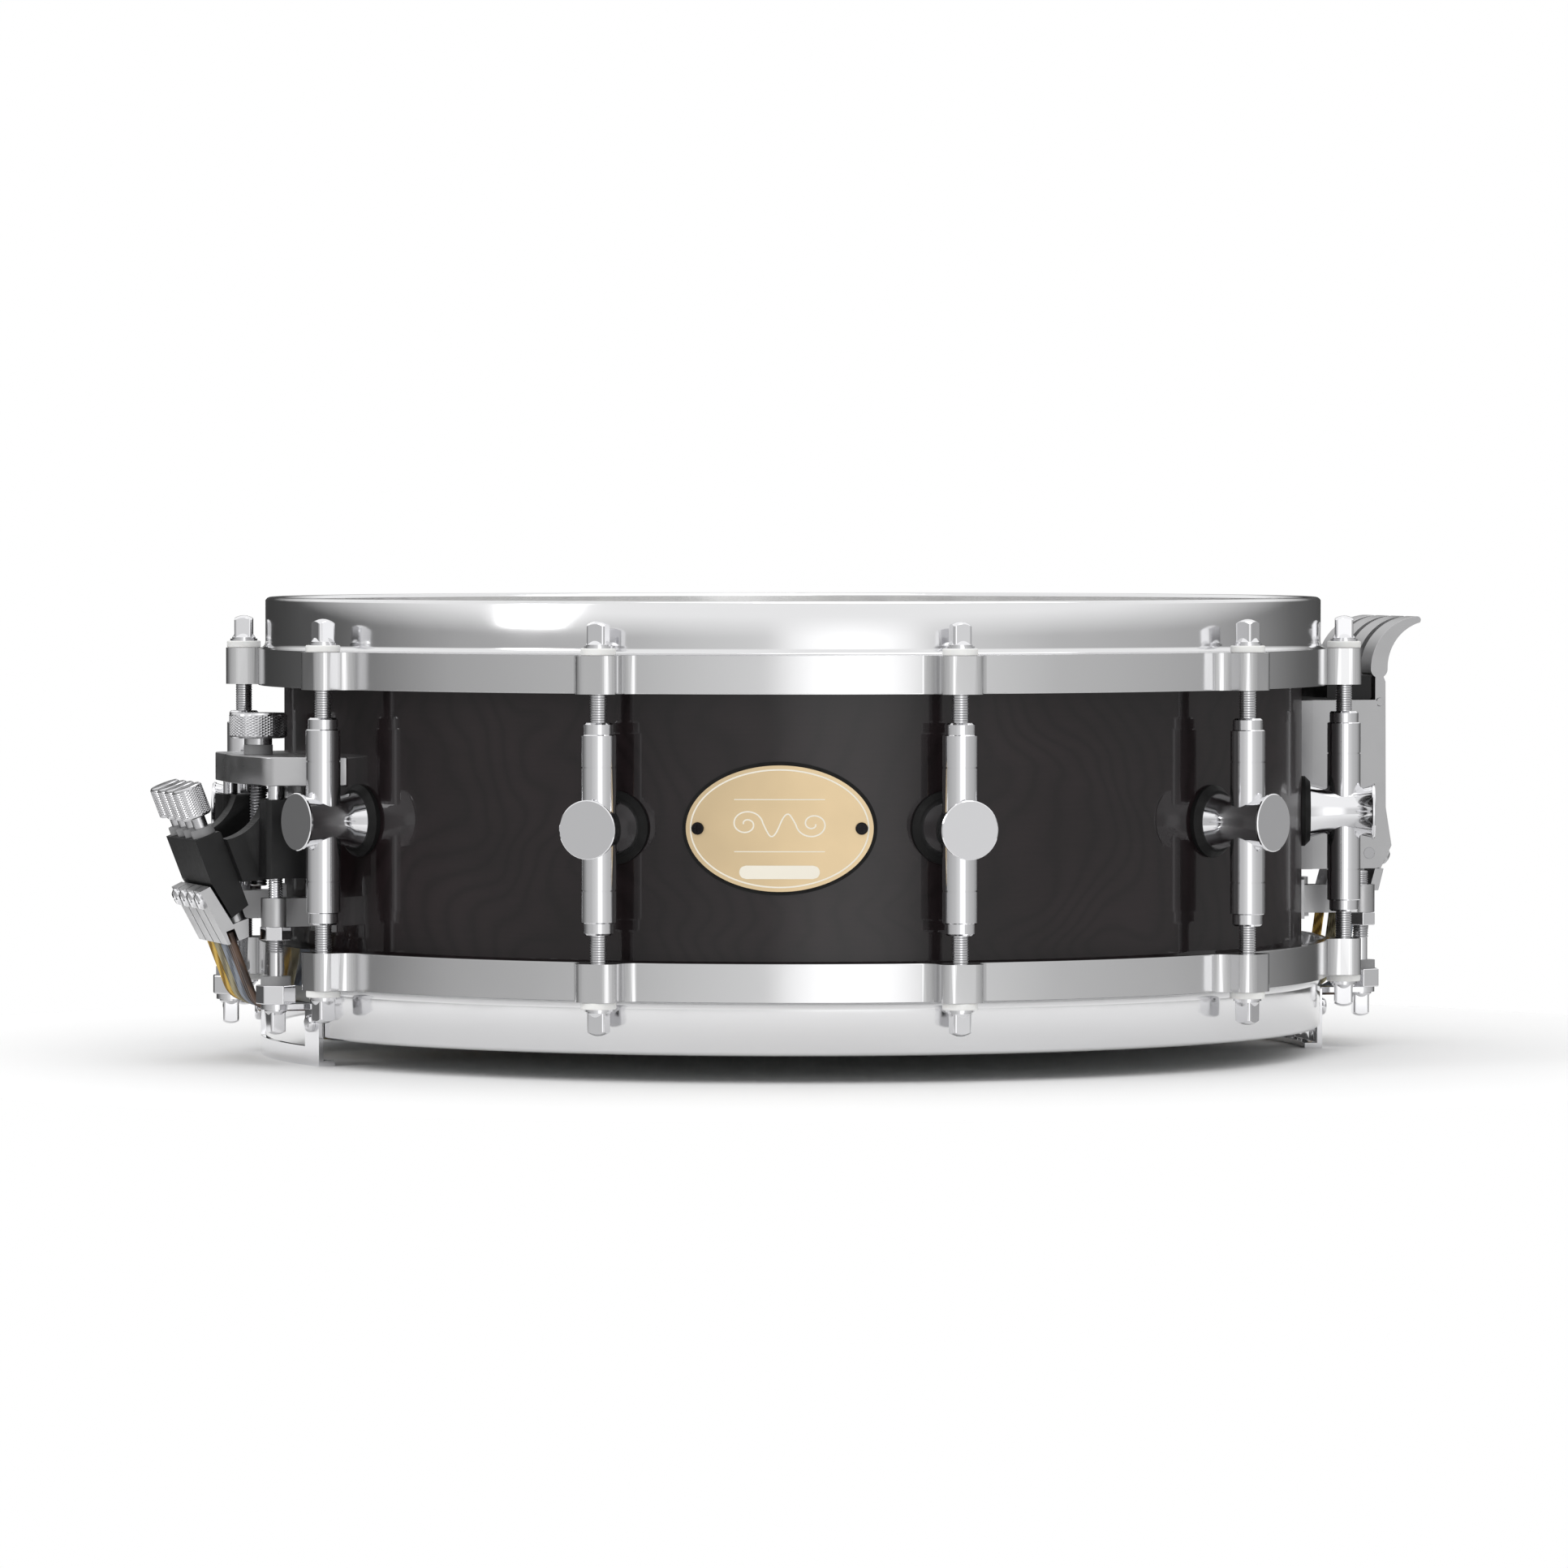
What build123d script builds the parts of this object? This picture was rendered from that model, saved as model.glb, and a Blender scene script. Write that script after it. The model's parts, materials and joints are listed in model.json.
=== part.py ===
"""Concert snare drum, 14 x 5 inch: maple shell, ten tube lugs, four-way snare adjuster and throw-off.

Units are millimetres and +Z is up. The origin is on the drum's axis, level with the underside of the
two gate guards that the drum stands on. The badge faces -Y. Angles are measured from the badge,
positive towards +X, so a piece at angle a lies in the direction (sin a, -cos a).
Most pieces are drawn in a "side frame" (X outward from the axis, Y along the rim) and turned into place.
"""
from build123d import *
import math
import os

# ---------------------------------------------------------------- driving dimensions
MID_Z = 84.0                 # middle of the shell
SHELL_R = 178.0              # outer radius of the shell
SHELL_WALL = 7.5
SHELL_HALF = 63.5            # half the shell's height
EDGE_DROP = 6.0              # height of the 45 degree bearing edge
EDGE_ROUND = 1.5             # chamfer on the outer side of the bearing edge
BED_DEPTH = 1.5              # snare bed, a shallow dip in the lower bearing edge
BED_HALF_WIDTH = 40.0

HOOP_HALF = 75.0             # from the middle of the shell to the rim of a hoop
WALL_IN, WALL_OUT = 180.8, 184.5        # collar of the hoop
FLANGE_IN, FLANGE_OUT = 183.3, 187.0    # thicker lower band of the hoop
FLANGE_NEAR, FLANGE_FAR = 44.4, 57.1    # the band's edges, measured from the middle of the shell
EAR_R = 198.8                # outer face of a hoop's ears
EAR_HALF_WIDTH = 7.5
EAR_CORNER = 4.5
EAR_ROOT = 5.0
ROD_CIRCLE_R = 192.8         # radius of the circle that the tension rods stand on
ROD_R = 2.7
LUG_ANGLES = [18 + 36 * k for k in range(10)]

HEAD_FILM = 0.25
FLESH_IN, FLESH_OUT = 179.2, 182.6      # metal ring that holds the head's skin
FLESH_NEAR, FLESH_FAR = 50.5, 56.6      # its edges, measured from the middle of the shell

TUBE_R = 5.9                 # vertical lug tube
TUBE_HALF = 31.1
TUBE_BORE_R = 4.3
TUBE_BORE_END = 15.5         # half the length of the tube's solid core
TUBE_GROOVE = 20.3           # grooves round the tube, measured from the middle
POST_IN, POST_OUT = 181.0, 203.6        # horizontal lug post
NUT_COLLAR_R = 5.1
NUT_COLLAR_END = 35.0
NUT_BODY_R = 4.2
NUT_BODY_END = 17.0

BADGE_WIDTH, BADGE_HEIGHT = 62.0, 41.7
BADGE_BORDER = 1.2
BADGE_SCREW_X = 26.8

ADJUSTER_ANGLE = -72.0
THROWOFF_ANGLE = 108.0
GATE_HALF_ANGLE = 10.2       # half the opening in the bottom hoop for the snares
GUARD_HALF_ANGLE = 13.6
GUARD_IN, GUARD_OUT = 184.7, 186.5
GUARD_TOP = 21.1
GUARD_SHEET = 1.9
GUARD_BAND = 6.5
GUARD_LIP_IN = 180.3

COLUMN_Y = 34.4              # tie bolts and guide posts stand this far each side of the middle
ADJUSTER_COLUMN_X = 194.0
THROWOFF_COLUMN_X = 199.0
ADJUSTER_TIE_TIP, THROWOFF_TIE_TIP = 51.5, 62.0    # height of the tie bolts' upper ends
TIE_R = 2.45
ARM_LOW, ARM_HIGH = 47.4, 57.2          # lower arms, which the tie bolts screw into

BRACKET_LOW, BRACKET_HIGH = 95.4, 105.2  # upper arm of the adjuster
LEAD_X = 192.0               # distance of the lead screw from the drum's axis
LEAD_R = 3.0
GUIDE_R = 2.5
RUNNING_FIT = 0.06           # radial clearance of shafts that turn or slide
KNOB_R = 10.05
KNOB_LOW, KNOB_HIGH = 110.8, 119.5

TILT = 21.0                  # lean of the head block and its fine knobs
BLOCK_TOP = (215.0, 78.15)   # middle of the block's top face, as (outward, up)
BLOCK_HALF = 4.7
BLOCK_HALF_WIDTH = 23.0
FINE_PITCH = 11.6            # spacing of the four fine knobs
FINE_R = 5.4
FINE_LOW, FINE_HIGH = 6.8, 17.8         # the knob's ends, measured up its tilted axis
CLAMP_WIDTH = 10.6
STEM_R = 3.2
CLAMP_FOOT_LOW, CLAMP_FOOT_HIGH = -37.5, -31.5
CLAMP_FACE_TOP, CLAMP_FACE_LOW = (9.3, -17.0), (6.7, -37.5)
CLAMP_SCREW_AT = 0.17        # place of the clamp's screw, as a share of the way down its face

LEVER_PITCH = 15.0
LEVER_WIDTH = 10.6
AXLE_X, AXLE_Z = 203.5, 68.0
AXLE_R = 2.0
CATCH_X, CATCH_Z = 208.6, 121.4
HOUSING_LOW, HOUSING_HIGH = 62.6, 122.2
CHEEK_IN, CHEEK_OUT = 28.2, 31.2
CHEEK_FACE = 206.5

SNARE_SETS = [(0.4, 6, 1.5), (0.7, 4, 2.4), (0.8, 4, 2.5), (1.1, 3, 3.2)]  # radius, count, spacing
SNARE_GAP = 0.35             # between the snares and the lower head


# ---------------------------------------------------------------- helpers
def facing(angle, shape):
    """Turn a shape from the side frame to its angle from the badge."""
    return Rot(0, 0, angle - 90) * shape


def around(shape, angles=LUG_ANGLES):
    return [facing(angle, shape) for angle in angles]


def both_ends(shape):
    """A shape of the top end and its mirror image at the bottom end."""
    return [shape, mirror(shape, about=Plane.XY.offset(MID_Z))]


def turned(*points):
    """Solid turned about Z from (radius, height) points."""
    outline = Polyline(*[(r, 0, z) for r, z in points], close=True)
    return revolve(make_face(outline), Axis.Z)


def upright(radius, low, high, x=0.0, y=0.0):
    return Pos(x, y, low) * Cylinder(radius, high - low, align=(Align.CENTER, Align.CENTER, Align.MIN))


def ring(inner, outer, low, high):
    return turned((inner, low), (outer, low), (outer, high), (inner, high))


def outward(radius, start, end, z=MID_Z, y=0.0):
    """Cylinder that points away from the drum's axis, between two distances from it."""
    bar = Cylinder(radius, end - start, align=(Align.CENTER, Align.CENTER, Align.MIN))
    return Pos(start, y, z) * Rot(0, 90, 0) * bar


def across(radius, x, z, start, end):
    """Cylinder along the rim, between two Y values."""
    bar = Cylinder(radius, end - start, align=(Align.CENTER, Align.CENTER, Align.MIN))
    return Pos(x, start, z) * Rot(-90, 0, 0) * bar


def block(x0, x1, y0, y1, z0, z1):
    return Pos(x0, y0, z0) * Box(x1 - x0, y1 - y0, z1 - z0, align=(Align.MIN, Align.MIN, Align.MIN))


def slab(points, y0, y1):
    """Plate with an (x, z) outline, reaching from y0 to y1."""
    outline = Polyline(*[(x, y0, z) for x, z in points], close=True)
    return extrude(make_face(outline), amount=y1 - y0, dir=(0, 1, 0))


def tilted(u, v):
    """(x, z) of a point u outward from the fine-screw axis and v up along it."""
    lean = math.radians(TILT)
    x = BLOCK_TOP[0] + u * math.cos(lean) + v * math.sin(lean)
    z = BLOCK_TOP[1] - u * math.sin(lean) + v * math.cos(lean)
    return x, z


def lean(shape):
    """Move a shape drawn with Z along the fine-screw axis into the side frame."""
    return Pos(BLOCK_TOP[0], 0, BLOCK_TOP[1]) * Rot(0, TILT, 0) * shape


def key_head(base, flare_r, half, height):
    """Square drum-key head that stands on z = base, with a flared foot and a domed tip."""
    shank = Pos(0, 0, base) * Box(2 * half, 2 * half, height, align=(Align.CENTER, Align.CENTER, Align.MIN))
    shank = fillet(shank.edges().filter_by(Axis.Z), half * 0.3)
    dome = Pos(0, 0, base + height - half * 1.9) * Sphere(half * 1.9)
    trunk = upright(half * 2, base, base + height - half * 1.9)
    foot = turned((0, base), (flare_r, base), (flare_r, base + 0.5), (half, base + 1.8), (0, base + 1.8))
    return (shank & (dome + trunk)) + foot


def write(name, shapes):
    solids = [solid for shape in shapes for solid in shape.solids()]
    export_step(Compound(label=name, children=solids), f"parts/{name}.step")


# ---------------------------------------------------------------- shell, hoops and heads
def make_shell():
    inner, low, high = SHELL_R - SHELL_WALL, MID_Z - SHELL_HALF, MID_Z + SHELL_HALF
    peak = inner + EDGE_DROP
    body = turned(
        (inner, low + EDGE_DROP), (peak, low), (SHELL_R, low + EDGE_ROUND),
        (SHELL_R, high - EDGE_ROUND), (peak, high), (inner, high - EDGE_DROP),
    )
    bed_r = (BED_HALF_WIDTH**2 + BED_DEPTH**2) / (2 * BED_DEPTH)
    bed = outward(bed_r, 160, 190, z=low + BED_DEPTH - bed_r)
    cuts = around(bed, [ADJUSTER_ANGLE, THROWOFF_ANGLE])
    cuts += around(outward(2.2, 160, 190), LUG_ANGLES)
    badge_angle = math.degrees(math.asin(BADGE_SCREW_X / SHELL_R))
    cuts += around(outward(1.05, 160, 190), [-badge_angle, badge_angle])
    cuts += bracket_screw_shapes(1.7, 160, 190)
    return body - cuts


def make_hoop():
    """Top hoop: collar, concave step, band and ten ears with holes for the rods."""
    near, far, rim = MID_Z + FLANGE_NEAR, MID_Z + FLANGE_FAR, MID_Z + HOOP_HALF
    edge = 1.2
    step = 2.5
    outline = [
        Line((WALL_IN, 0, far - 0.5), (WALL_IN, 0, rim - edge)),
        ThreePointArc(
            (WALL_IN, 0, rim - edge), ((WALL_IN + WALL_OUT) / 2, 0, rim), (WALL_OUT, 0, rim - edge)
        ),
        Line((WALL_OUT, 0, rim - edge), (WALL_OUT, 0, far + step)),
        ThreePointArc(
            (WALL_OUT, 0, far + step),
            (FLANGE_OUT - step * math.cos(math.pi / 4), 0, far + step * (1 - math.sin(math.pi / 4))),
            (FLANGE_OUT, 0, far),
        ),
        Line((FLANGE_OUT, 0, far), (FLANGE_OUT, 0, near)),
        Line((FLANGE_OUT, 0, near), (FLANGE_IN, 0, near)),
        Line((FLANGE_IN, 0, near), (FLANGE_IN, 0, far - 0.5)),
        Line((FLANGE_IN, 0, far - 0.5), (WALL_IN, 0, far - 0.5)),
    ]
    body = revolve(make_face(Wire(outline)), Axis.Z)
    for shape in around(hoop_ear(near, far)):
        body += shape
    return body - around(upright(ROD_R + 0.2, near - 1, far + 1, x=ROD_CIRCLE_R))


def hoop_ear(near, far):
    """One ear, with concave flanks where it leaves the band and rounded outer corners."""
    root = FLANGE_OUT - 2.0
    spread = EAR_HALF_WIDTH + EAR_ROOT
    face_x = math.sqrt(FLANGE_OUT**2 - spread**2) - 0.1
    right = [
        (root, spread), (face_x, spread), (face_x + EAR_ROOT, EAR_HALF_WIDTH),
        (EAR_R - EAR_CORNER, EAR_HALF_WIDTH), (EAR_R, EAR_HALF_WIDTH - EAR_CORNER),
    ]
    bend = EAR_CORNER * math.cos(math.pi / 4)
    corner_mid = (EAR_R - EAR_CORNER + bend, EAR_HALF_WIDTH - EAR_CORNER + bend)
    edges = []
    for side in (1, -1):
        p = [(x, side * y, near) for x, y in right]
        edges += [
            Line(p[0], p[1]),
            ThreePointArc(p[1], root_mid(face_x, side, near), p[2]),
            Line(p[2], p[3]),
            ThreePointArc(p[3], (corner_mid[0], side * corner_mid[1], near), p[4]),
        ]
    face_half = EAR_HALF_WIDTH - EAR_CORNER
    edges.append(Line((EAR_R, face_half, near), (EAR_R, -face_half, near)))
    edges.append(Line((root, -spread, near), (root, spread, near)))
    return extrude(make_face(Wire(edges)), amount=far - near, dir=(0, 0, 1))


def root_mid(face_x, side, z):
    """Middle point of the concave arc where an ear leaves the band."""
    reach = EAR_ROOT * math.cos(math.pi / 4)
    return (face_x + EAR_ROOT - reach, side * (EAR_HALF_WIDTH + EAR_ROOT - reach), z)


def gate_cut():
    """Wedge that opens the bottom hoop's collar for the snares."""
    low = MID_Z - HOOP_HALF - 1
    high = MID_Z - FLANGE_FAR
    reach = 195.0
    half = reach * math.tan(math.radians(GATE_HALF_ANGLE))
    outline = Polyline((0, 0, low), (reach, -half, low), (reach, half, low), close=True)
    return extrude(make_face(outline), amount=high - low, dir=(0, 0, 1)) - upright(150, low - 1, high + 1)


def make_head(side):
    """Skin of a head and the metal flesh hoop that holds it; side is 1 at the top, -1 below."""
    top = MID_Z + SHELL_HALF
    collar_in = SHELL_R + 0.35
    lip_low = MID_Z + FLESH_NEAR + 1.2
    skin = turned(
        (0, top), (collar_in, top), (collar_in, lip_low), (FLESH_IN + 1.6, lip_low),
        (FLESH_IN + 1.6, lip_low + HEAD_FILM), (collar_in + HEAD_FILM, lip_low + HEAD_FILM),
        (collar_in + HEAD_FILM, top + HEAD_FILM), (0, top + HEAD_FILM),
    )
    hoop = ring(FLESH_IN, FLESH_OUT, MID_Z + FLESH_NEAR, MID_Z + FLESH_FAR)
    hoop -= ring(FLESH_IN - 1, FLESH_IN + 1.7, lip_low - 0.05, lip_low + HEAD_FILM + 0.05)
    if side > 0:
        return skin, hoop
    return both_ends(skin)[1], both_ends(hoop)[1]


# ---------------------------------------------------------------- lugs and tension rods
def make_lug_post():
    waist = (7.8, 192.0)
    rim = 9.8
    start, end = (9.6, 0, POST_IN), (9.45, 0, POST_OUT - 1.2)
    outline = [
        Line((0, 0, POST_IN), start),
        ThreePointArc(start, (waist[0], 0, waist[1]), end),
        Line(end, (rim, 0, POST_OUT - 0.9)),
        Line((rim, 0, POST_OUT - 0.9), (rim, 0, POST_OUT - 0.3)),
        Line((rim, 0, POST_OUT - 0.3), (rim - 0.3, 0, POST_OUT)),
        Line((rim - 0.3, 0, POST_OUT), (0, 0, POST_OUT)),
        Line((0, 0, POST_OUT), (0, 0, POST_IN)),
    ]
    post = Pos(0, 0, MID_Z) * Rot(0, 90, 0) * revolve(make_face(Wire(outline)), Axis.Z)
    post -= upright(TUBE_R + 0.02, MID_Z - 20, MID_Z + 20, x=ROD_CIRCLE_R)
    return post - outward(2.05, POST_IN - 1, 187.5)


def make_lug_tube():
    bore_end, groove = TUBE_BORE_END, TUBE_GROOVE
    half = [
        (0, 0), (TUBE_R, 0), (TUBE_R, groove - 0.25), (TUBE_R - 0.3, groove - 0.25),
        (TUBE_R - 0.3, groove + 0.25), (TUBE_R, groove + 0.25), (TUBE_R, TUBE_HALF - 0.3),
        (TUBE_R - 0.3, TUBE_HALF), (TUBE_BORE_R, TUBE_HALF), (TUBE_BORE_R, bore_end), (0, bore_end),
    ]
    upper = turned(*half)
    tube = upper + mirror(upper, about=Plane.XY)
    return Pos(ROD_CIRCLE_R, 0, MID_Z) * tube


def make_lug_gasket():
    body = turned((2.2, 176), (12.25, 176), (12.25, 179.2), (10.4, POST_IN), (2.2, POST_IN))
    body = Pos(0, 0, MID_Z) * Rot(0, 90, 0) * body
    return body - upright(SHELL_R + 0.02, 0, 160)


def inside_screw(radius, tip, z=MID_Z, head_r=5.0):
    """Pan-head screw that goes outward through the shell wall, and its flat washer."""
    seat = SHELL_R - SHELL_WALL - 0.3
    washer = outward(head_r * 1.6, seat - 1.3, seat, z) - outward(radius + 0.2, seat - 2, seat + 1, z)
    head = outward(head_r, seat - 4.0, seat - 1.3, z)
    head = fillet(head.edges().group_by(Axis.X)[0], 1.6)
    return head + outward(radius, seat - 1.3, tip, z), washer


def make_swivel_nut():
    nut = turned(
        (ROD_R + 0.05, NUT_BODY_END), (NUT_BODY_R, NUT_BODY_END), (NUT_BODY_R, TUBE_HALF),
        (NUT_COLLAR_R, TUBE_HALF), (NUT_COLLAR_R, NUT_COLLAR_END - 0.6),
        (NUT_COLLAR_R - 0.6, NUT_COLLAR_END), (ROD_R + 0.05, NUT_COLLAR_END),
    )
    return Pos(ROD_CIRCLE_R, 0, MID_Z) * nut


def make_rod():
    """Tension rod, its steel washer and its nylon washer, at the top end."""
    ear_top = MID_Z + FLANGE_FAR
    nylon = ear_top + 2.4
    steel = nylon + 0.7
    rod = upright(ROD_R, MID_Z + NUT_BODY_END + 0.5, steel + 0.2) + key_head(steel, 4.1, 3.15, 8.2)
    washer = ring(ROD_R + 0.1, 4.75, nylon, steel)
    cushion = ring(ROD_R + 0.15, 5.9, ear_top, nylon)
    cushion = fillet(cushion.edges().filter_by(GeomType.CIRCLE).sort_by(SortBy.RADIUS)[-2:], 0.5)
    at_circle = Pos(ROD_CIRCLE_R, 0, 0)
    return at_circle * rod, at_circle * washer, at_circle * cushion


# ---------------------------------------------------------------- badge
def oval(width, height):
    face = Plane.XZ.offset(SHELL_R - 6) * Ellipse(width / 2, height / 2)
    return Pos(0, 0, MID_Z) * extrude(face, amount=12)


def make_badge():
    low, high = MID_Z - 30, MID_Z + 30
    border = 2 * BADGE_BORDER
    gasket = oval(BADGE_WIDTH + border, BADGE_HEIGHT + border) & ring(SHELL_R + 0.02, 178.8, low, high)
    plate = oval(BADGE_WIDTH, BADGE_HEIGHT) & ring(178.82, 179.8, low, high)
    angle = math.degrees(math.asin(BADGE_SCREW_X / SHELL_R))
    holes = around(outward(1.1, 170, 185), [-angle, angle])
    head = outward(2.07, 179.82, 180.7)
    head = fillet(head.edges().group_by(Axis.X)[-1], 0.5)
    slots = block(180.35, 181, -1.3, 1.3, MID_Z - 0.25, MID_Z + 0.25)
    slots += block(180.35, 181, -0.25, 0.25, MID_Z - 1.3, MID_Z + 1.3)
    screw = head + outward(1.0, 171.5, 180) - slots
    return gasket - holes, plate - holes, around(screw, [-angle, angle])


# ---------------------------------------------------------------- gate guards and tie bolts
def column(column_x):
    """Distance from the drum's axis and angle of a column that stands at (column_x, COLUMN_Y)."""
    return math.hypot(column_x, COLUMN_Y), math.degrees(math.atan2(COLUMN_Y, column_x))


def arc_band(inner, outer, low, high, start, end):
    """Part of a ring between two angles in the side frame."""
    outline = Polyline((inner, 0, low), (outer, 0, low), (outer, 0, high), (inner, 0, high), close=True)
    return Rot(0, 0, start) * revolve(make_face(outline), Axis.Z, revolution_arc=end - start)


def make_guard(column_x):
    full = GUARD_HALF_ANGLE
    guard = arc_band(GUARD_IN, GUARD_OUT, 0, GUARD_BAND, -full, full)
    guard += arc_band(GUARD_LIP_IN, GUARD_OUT, 0, GUARD_SHEET, -full, full)
    guard += arc_band(GUARD_IN, GUARD_OUT, 0, GUARD_TOP, GATE_HALF_ANGLE, full)
    guard += arc_band(GUARD_IN, GUARD_OUT, 0, GUARD_TOP, -full, -GATE_HALF_ANGLE)
    reach, angle = column(column_x)
    for side in (1, -1):
        tab = block(GUARD_IN + 0.4, reach, -5, 5, GUARD_TOP - GUARD_SHEET, GUARD_TOP)
        tab += upright(5, GUARD_TOP - GUARD_SHEET, GUARD_TOP, x=reach)
        guard += Rot(0, 0, side * angle) * (tab - upright(TIE_R + 0.2, 15, 25, x=reach))
        guard -= Rot(0, 0, side * (GATE_HALF_ANGLE + full) / 2) * outward(1.65, 183, 188, z=14.5)
    return guard


def guard_screw():
    head = outward(3.0, GUARD_OUT + 0.02, GUARD_OUT + 2.0, z=14.5)
    head = fillet(head.edges().group_by(Axis.X)[-1], 1.4)
    return head + outward(1.45, 179.0, GUARD_OUT + 0.1, z=14.5)


def make_tie(column_x, tip):
    """Tie bolt, hex spacer, nylon washer, nut and lower arm of one column, in its own radial frame."""
    reach, _ = column(column_x)
    tab_low = GUARD_TOP - GUARD_SHEET
    flip = Pos(reach, 0, tab_low) * Rot(180, 0, 0)
    bolt = flip * key_head(0, 3.9, 2.75, 8.6) + upright(TIE_R, tab_low - 0.1, tip, x=reach)
    spacer = Pos(reach, 0, GUARD_TOP) * extrude(RegularPolygon(6.9, 6, rotation=30), amount=6.4)
    washer = upright(5.15, GUARD_TOP + 6.4, GUARD_TOP + 9.4, x=reach)
    nut = Pos(reach, 0, ARM_LOW - 4.6) * extrude(RegularPolygon(5.4, 6, rotation=30), amount=4.6)
    shell_gap = SHELL_R + 0.02
    arm = block(170, reach, -4.6, 4.6, ARM_LOW, ARM_HIGH) + upright(5.0, ARM_LOW, ARM_HIGH, x=reach)
    pad = block(170, shell_gap + 2.5, -8, 8, ARM_LOW - 2, ARM_HIGH + 2)
    arm = arm + pad - upright(shell_gap, 0, 160) - outward(1.55, 170, 186, z=(ARM_LOW + ARM_HIGH) / 2)
    hole = upright(TIE_R + 0.05, 0, 100, x=reach)
    return bolt, spacer - hole, washer - hole, nut - hole, arm - hole


# ---------------------------------------------------------------- snare adjuster
def bracket_screw_shapes(radius, start, end):
    """Holes or shanks of the screws that hold both snare fittings and the lower arms to the shell."""
    arm_z = (ARM_LOW + ARM_HIGH) / 2
    bracket_z = (BRACKET_LOW + BRACKET_HIGH) / 2
    shapes = []
    for side in (1, -1):
        left_arm = ADJUSTER_ANGLE + side * column(ADJUSTER_COLUMN_X)[1]
        right_arm = THROWOFF_ANGLE + side * column(THROWOFF_COLUMN_X)[1]
        shapes.append(facing(left_arm, outward(radius, start, end, arm_z)))
        shapes.append(facing(right_arm, outward(radius, start, end, arm_z)))
        shapes.append(facing(ADJUSTER_ANGLE + side * 7, outward(radius, start, end, bracket_z)))
        shapes.append(facing(THROWOFF_ANGLE, outward(radius, start, end, MID_Z + 8 + side * 16)))
    return shapes


def bracket_screws():
    """Pan-head screws from inside the shell, with their washers."""
    arm_z = (ARM_LOW + ARM_HIGH) / 2
    bracket_z = (BRACKET_LOW + BRACKET_HIGH) / 2
    solids = []
    for side in (1, -1):
        places = [
            (ADJUSTER_ANGLE + side * column(ADJUSTER_COLUMN_X)[1], arm_z, 185.5),
            (THROWOFF_ANGLE + side * column(THROWOFF_COLUMN_X)[1], arm_z, 185.5),
            (ADJUSTER_ANGLE + side * 7, bracket_z, 188.0),
            (THROWOFF_ANGLE, MID_Z + 8 + side * 16, 183.0),
        ]
        for angle, z, tip in places:
            solids += [facing(angle, shape) for shape in inside_screw(1.5, tip, z, head_r=3.6)]
    return solids


def make_bracket():
    """Upper arm: a thick plate round the guide posts and the lead screw."""
    nose = Pos(LEAD_X, 0) * Circle(10)
    sides = [Pos(ADJUSTER_COLUMN_X, y) * Circle(5.2) for y in (COLUMN_Y, -COLUMN_Y)]
    feet = [Pos(172, y) * Circle(2) for y in (44, -44)]
    edges = [edge for face in [nose] + sides + feet for edge in face.edges()]
    plan = make_hull(edges)
    plate = Pos(0, 0, BRACKET_LOW) * extrude(plan, amount=BRACKET_HIGH - BRACKET_LOW, dir=(0, 0, 1))
    plate = fillet(plate.edges().group_by(Axis.Z)[-1] + plate.edges().group_by(Axis.Z)[0], 0.5)
    plate -= upright(SHELL_R + 0.02, 0, 160)
    plate -= upright(LEAD_R + RUNNING_FIT, 90, 110, x=LEAD_X)
    for y in (COLUMN_Y, -COLUMN_Y):
        plate -= upright(GUIDE_R + 0.02, 90, BRACKET_HIGH - 1.5, x=ADJUSTER_COLUMN_X, y=y)
    for side in (1, -1):
        plate -= Rot(0, 0, side * 7) * outward(1.55, 170, 188.5, (BRACKET_LOW + BRACKET_HIGH) / 2)
    return plate


def make_guide_post():
    return upright(GUIDE_R, 52.5, BRACKET_HIGH - 1.6, x=ADJUSTER_COLUMN_X)


def make_master_knob():
    knob = turned(
        (0, KNOB_LOW - 2.2), (4.8, KNOB_LOW - 2.2), (4.8, KNOB_LOW), (KNOB_R - 0.6, KNOB_LOW),
        (KNOB_R, KNOB_LOW + 0.6), (KNOB_R, KNOB_HIGH - 0.6), (KNOB_R - 0.6, KNOB_HIGH), (0, KNOB_HIGH),
    )
    knob = Pos(LEAD_X, 0, 0) * knob
    return knob - upright(LEAD_R + 0.02, 100, KNOB_HIGH - 2, x=LEAD_X)


def block_plane_x(z):
    """x of the head block's inner face at height z."""
    inner_top = tilted(-BLOCK_HALF, 0)
    return inner_top[0] - (inner_top[1] - z) * math.tan(math.radians(TILT))


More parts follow.
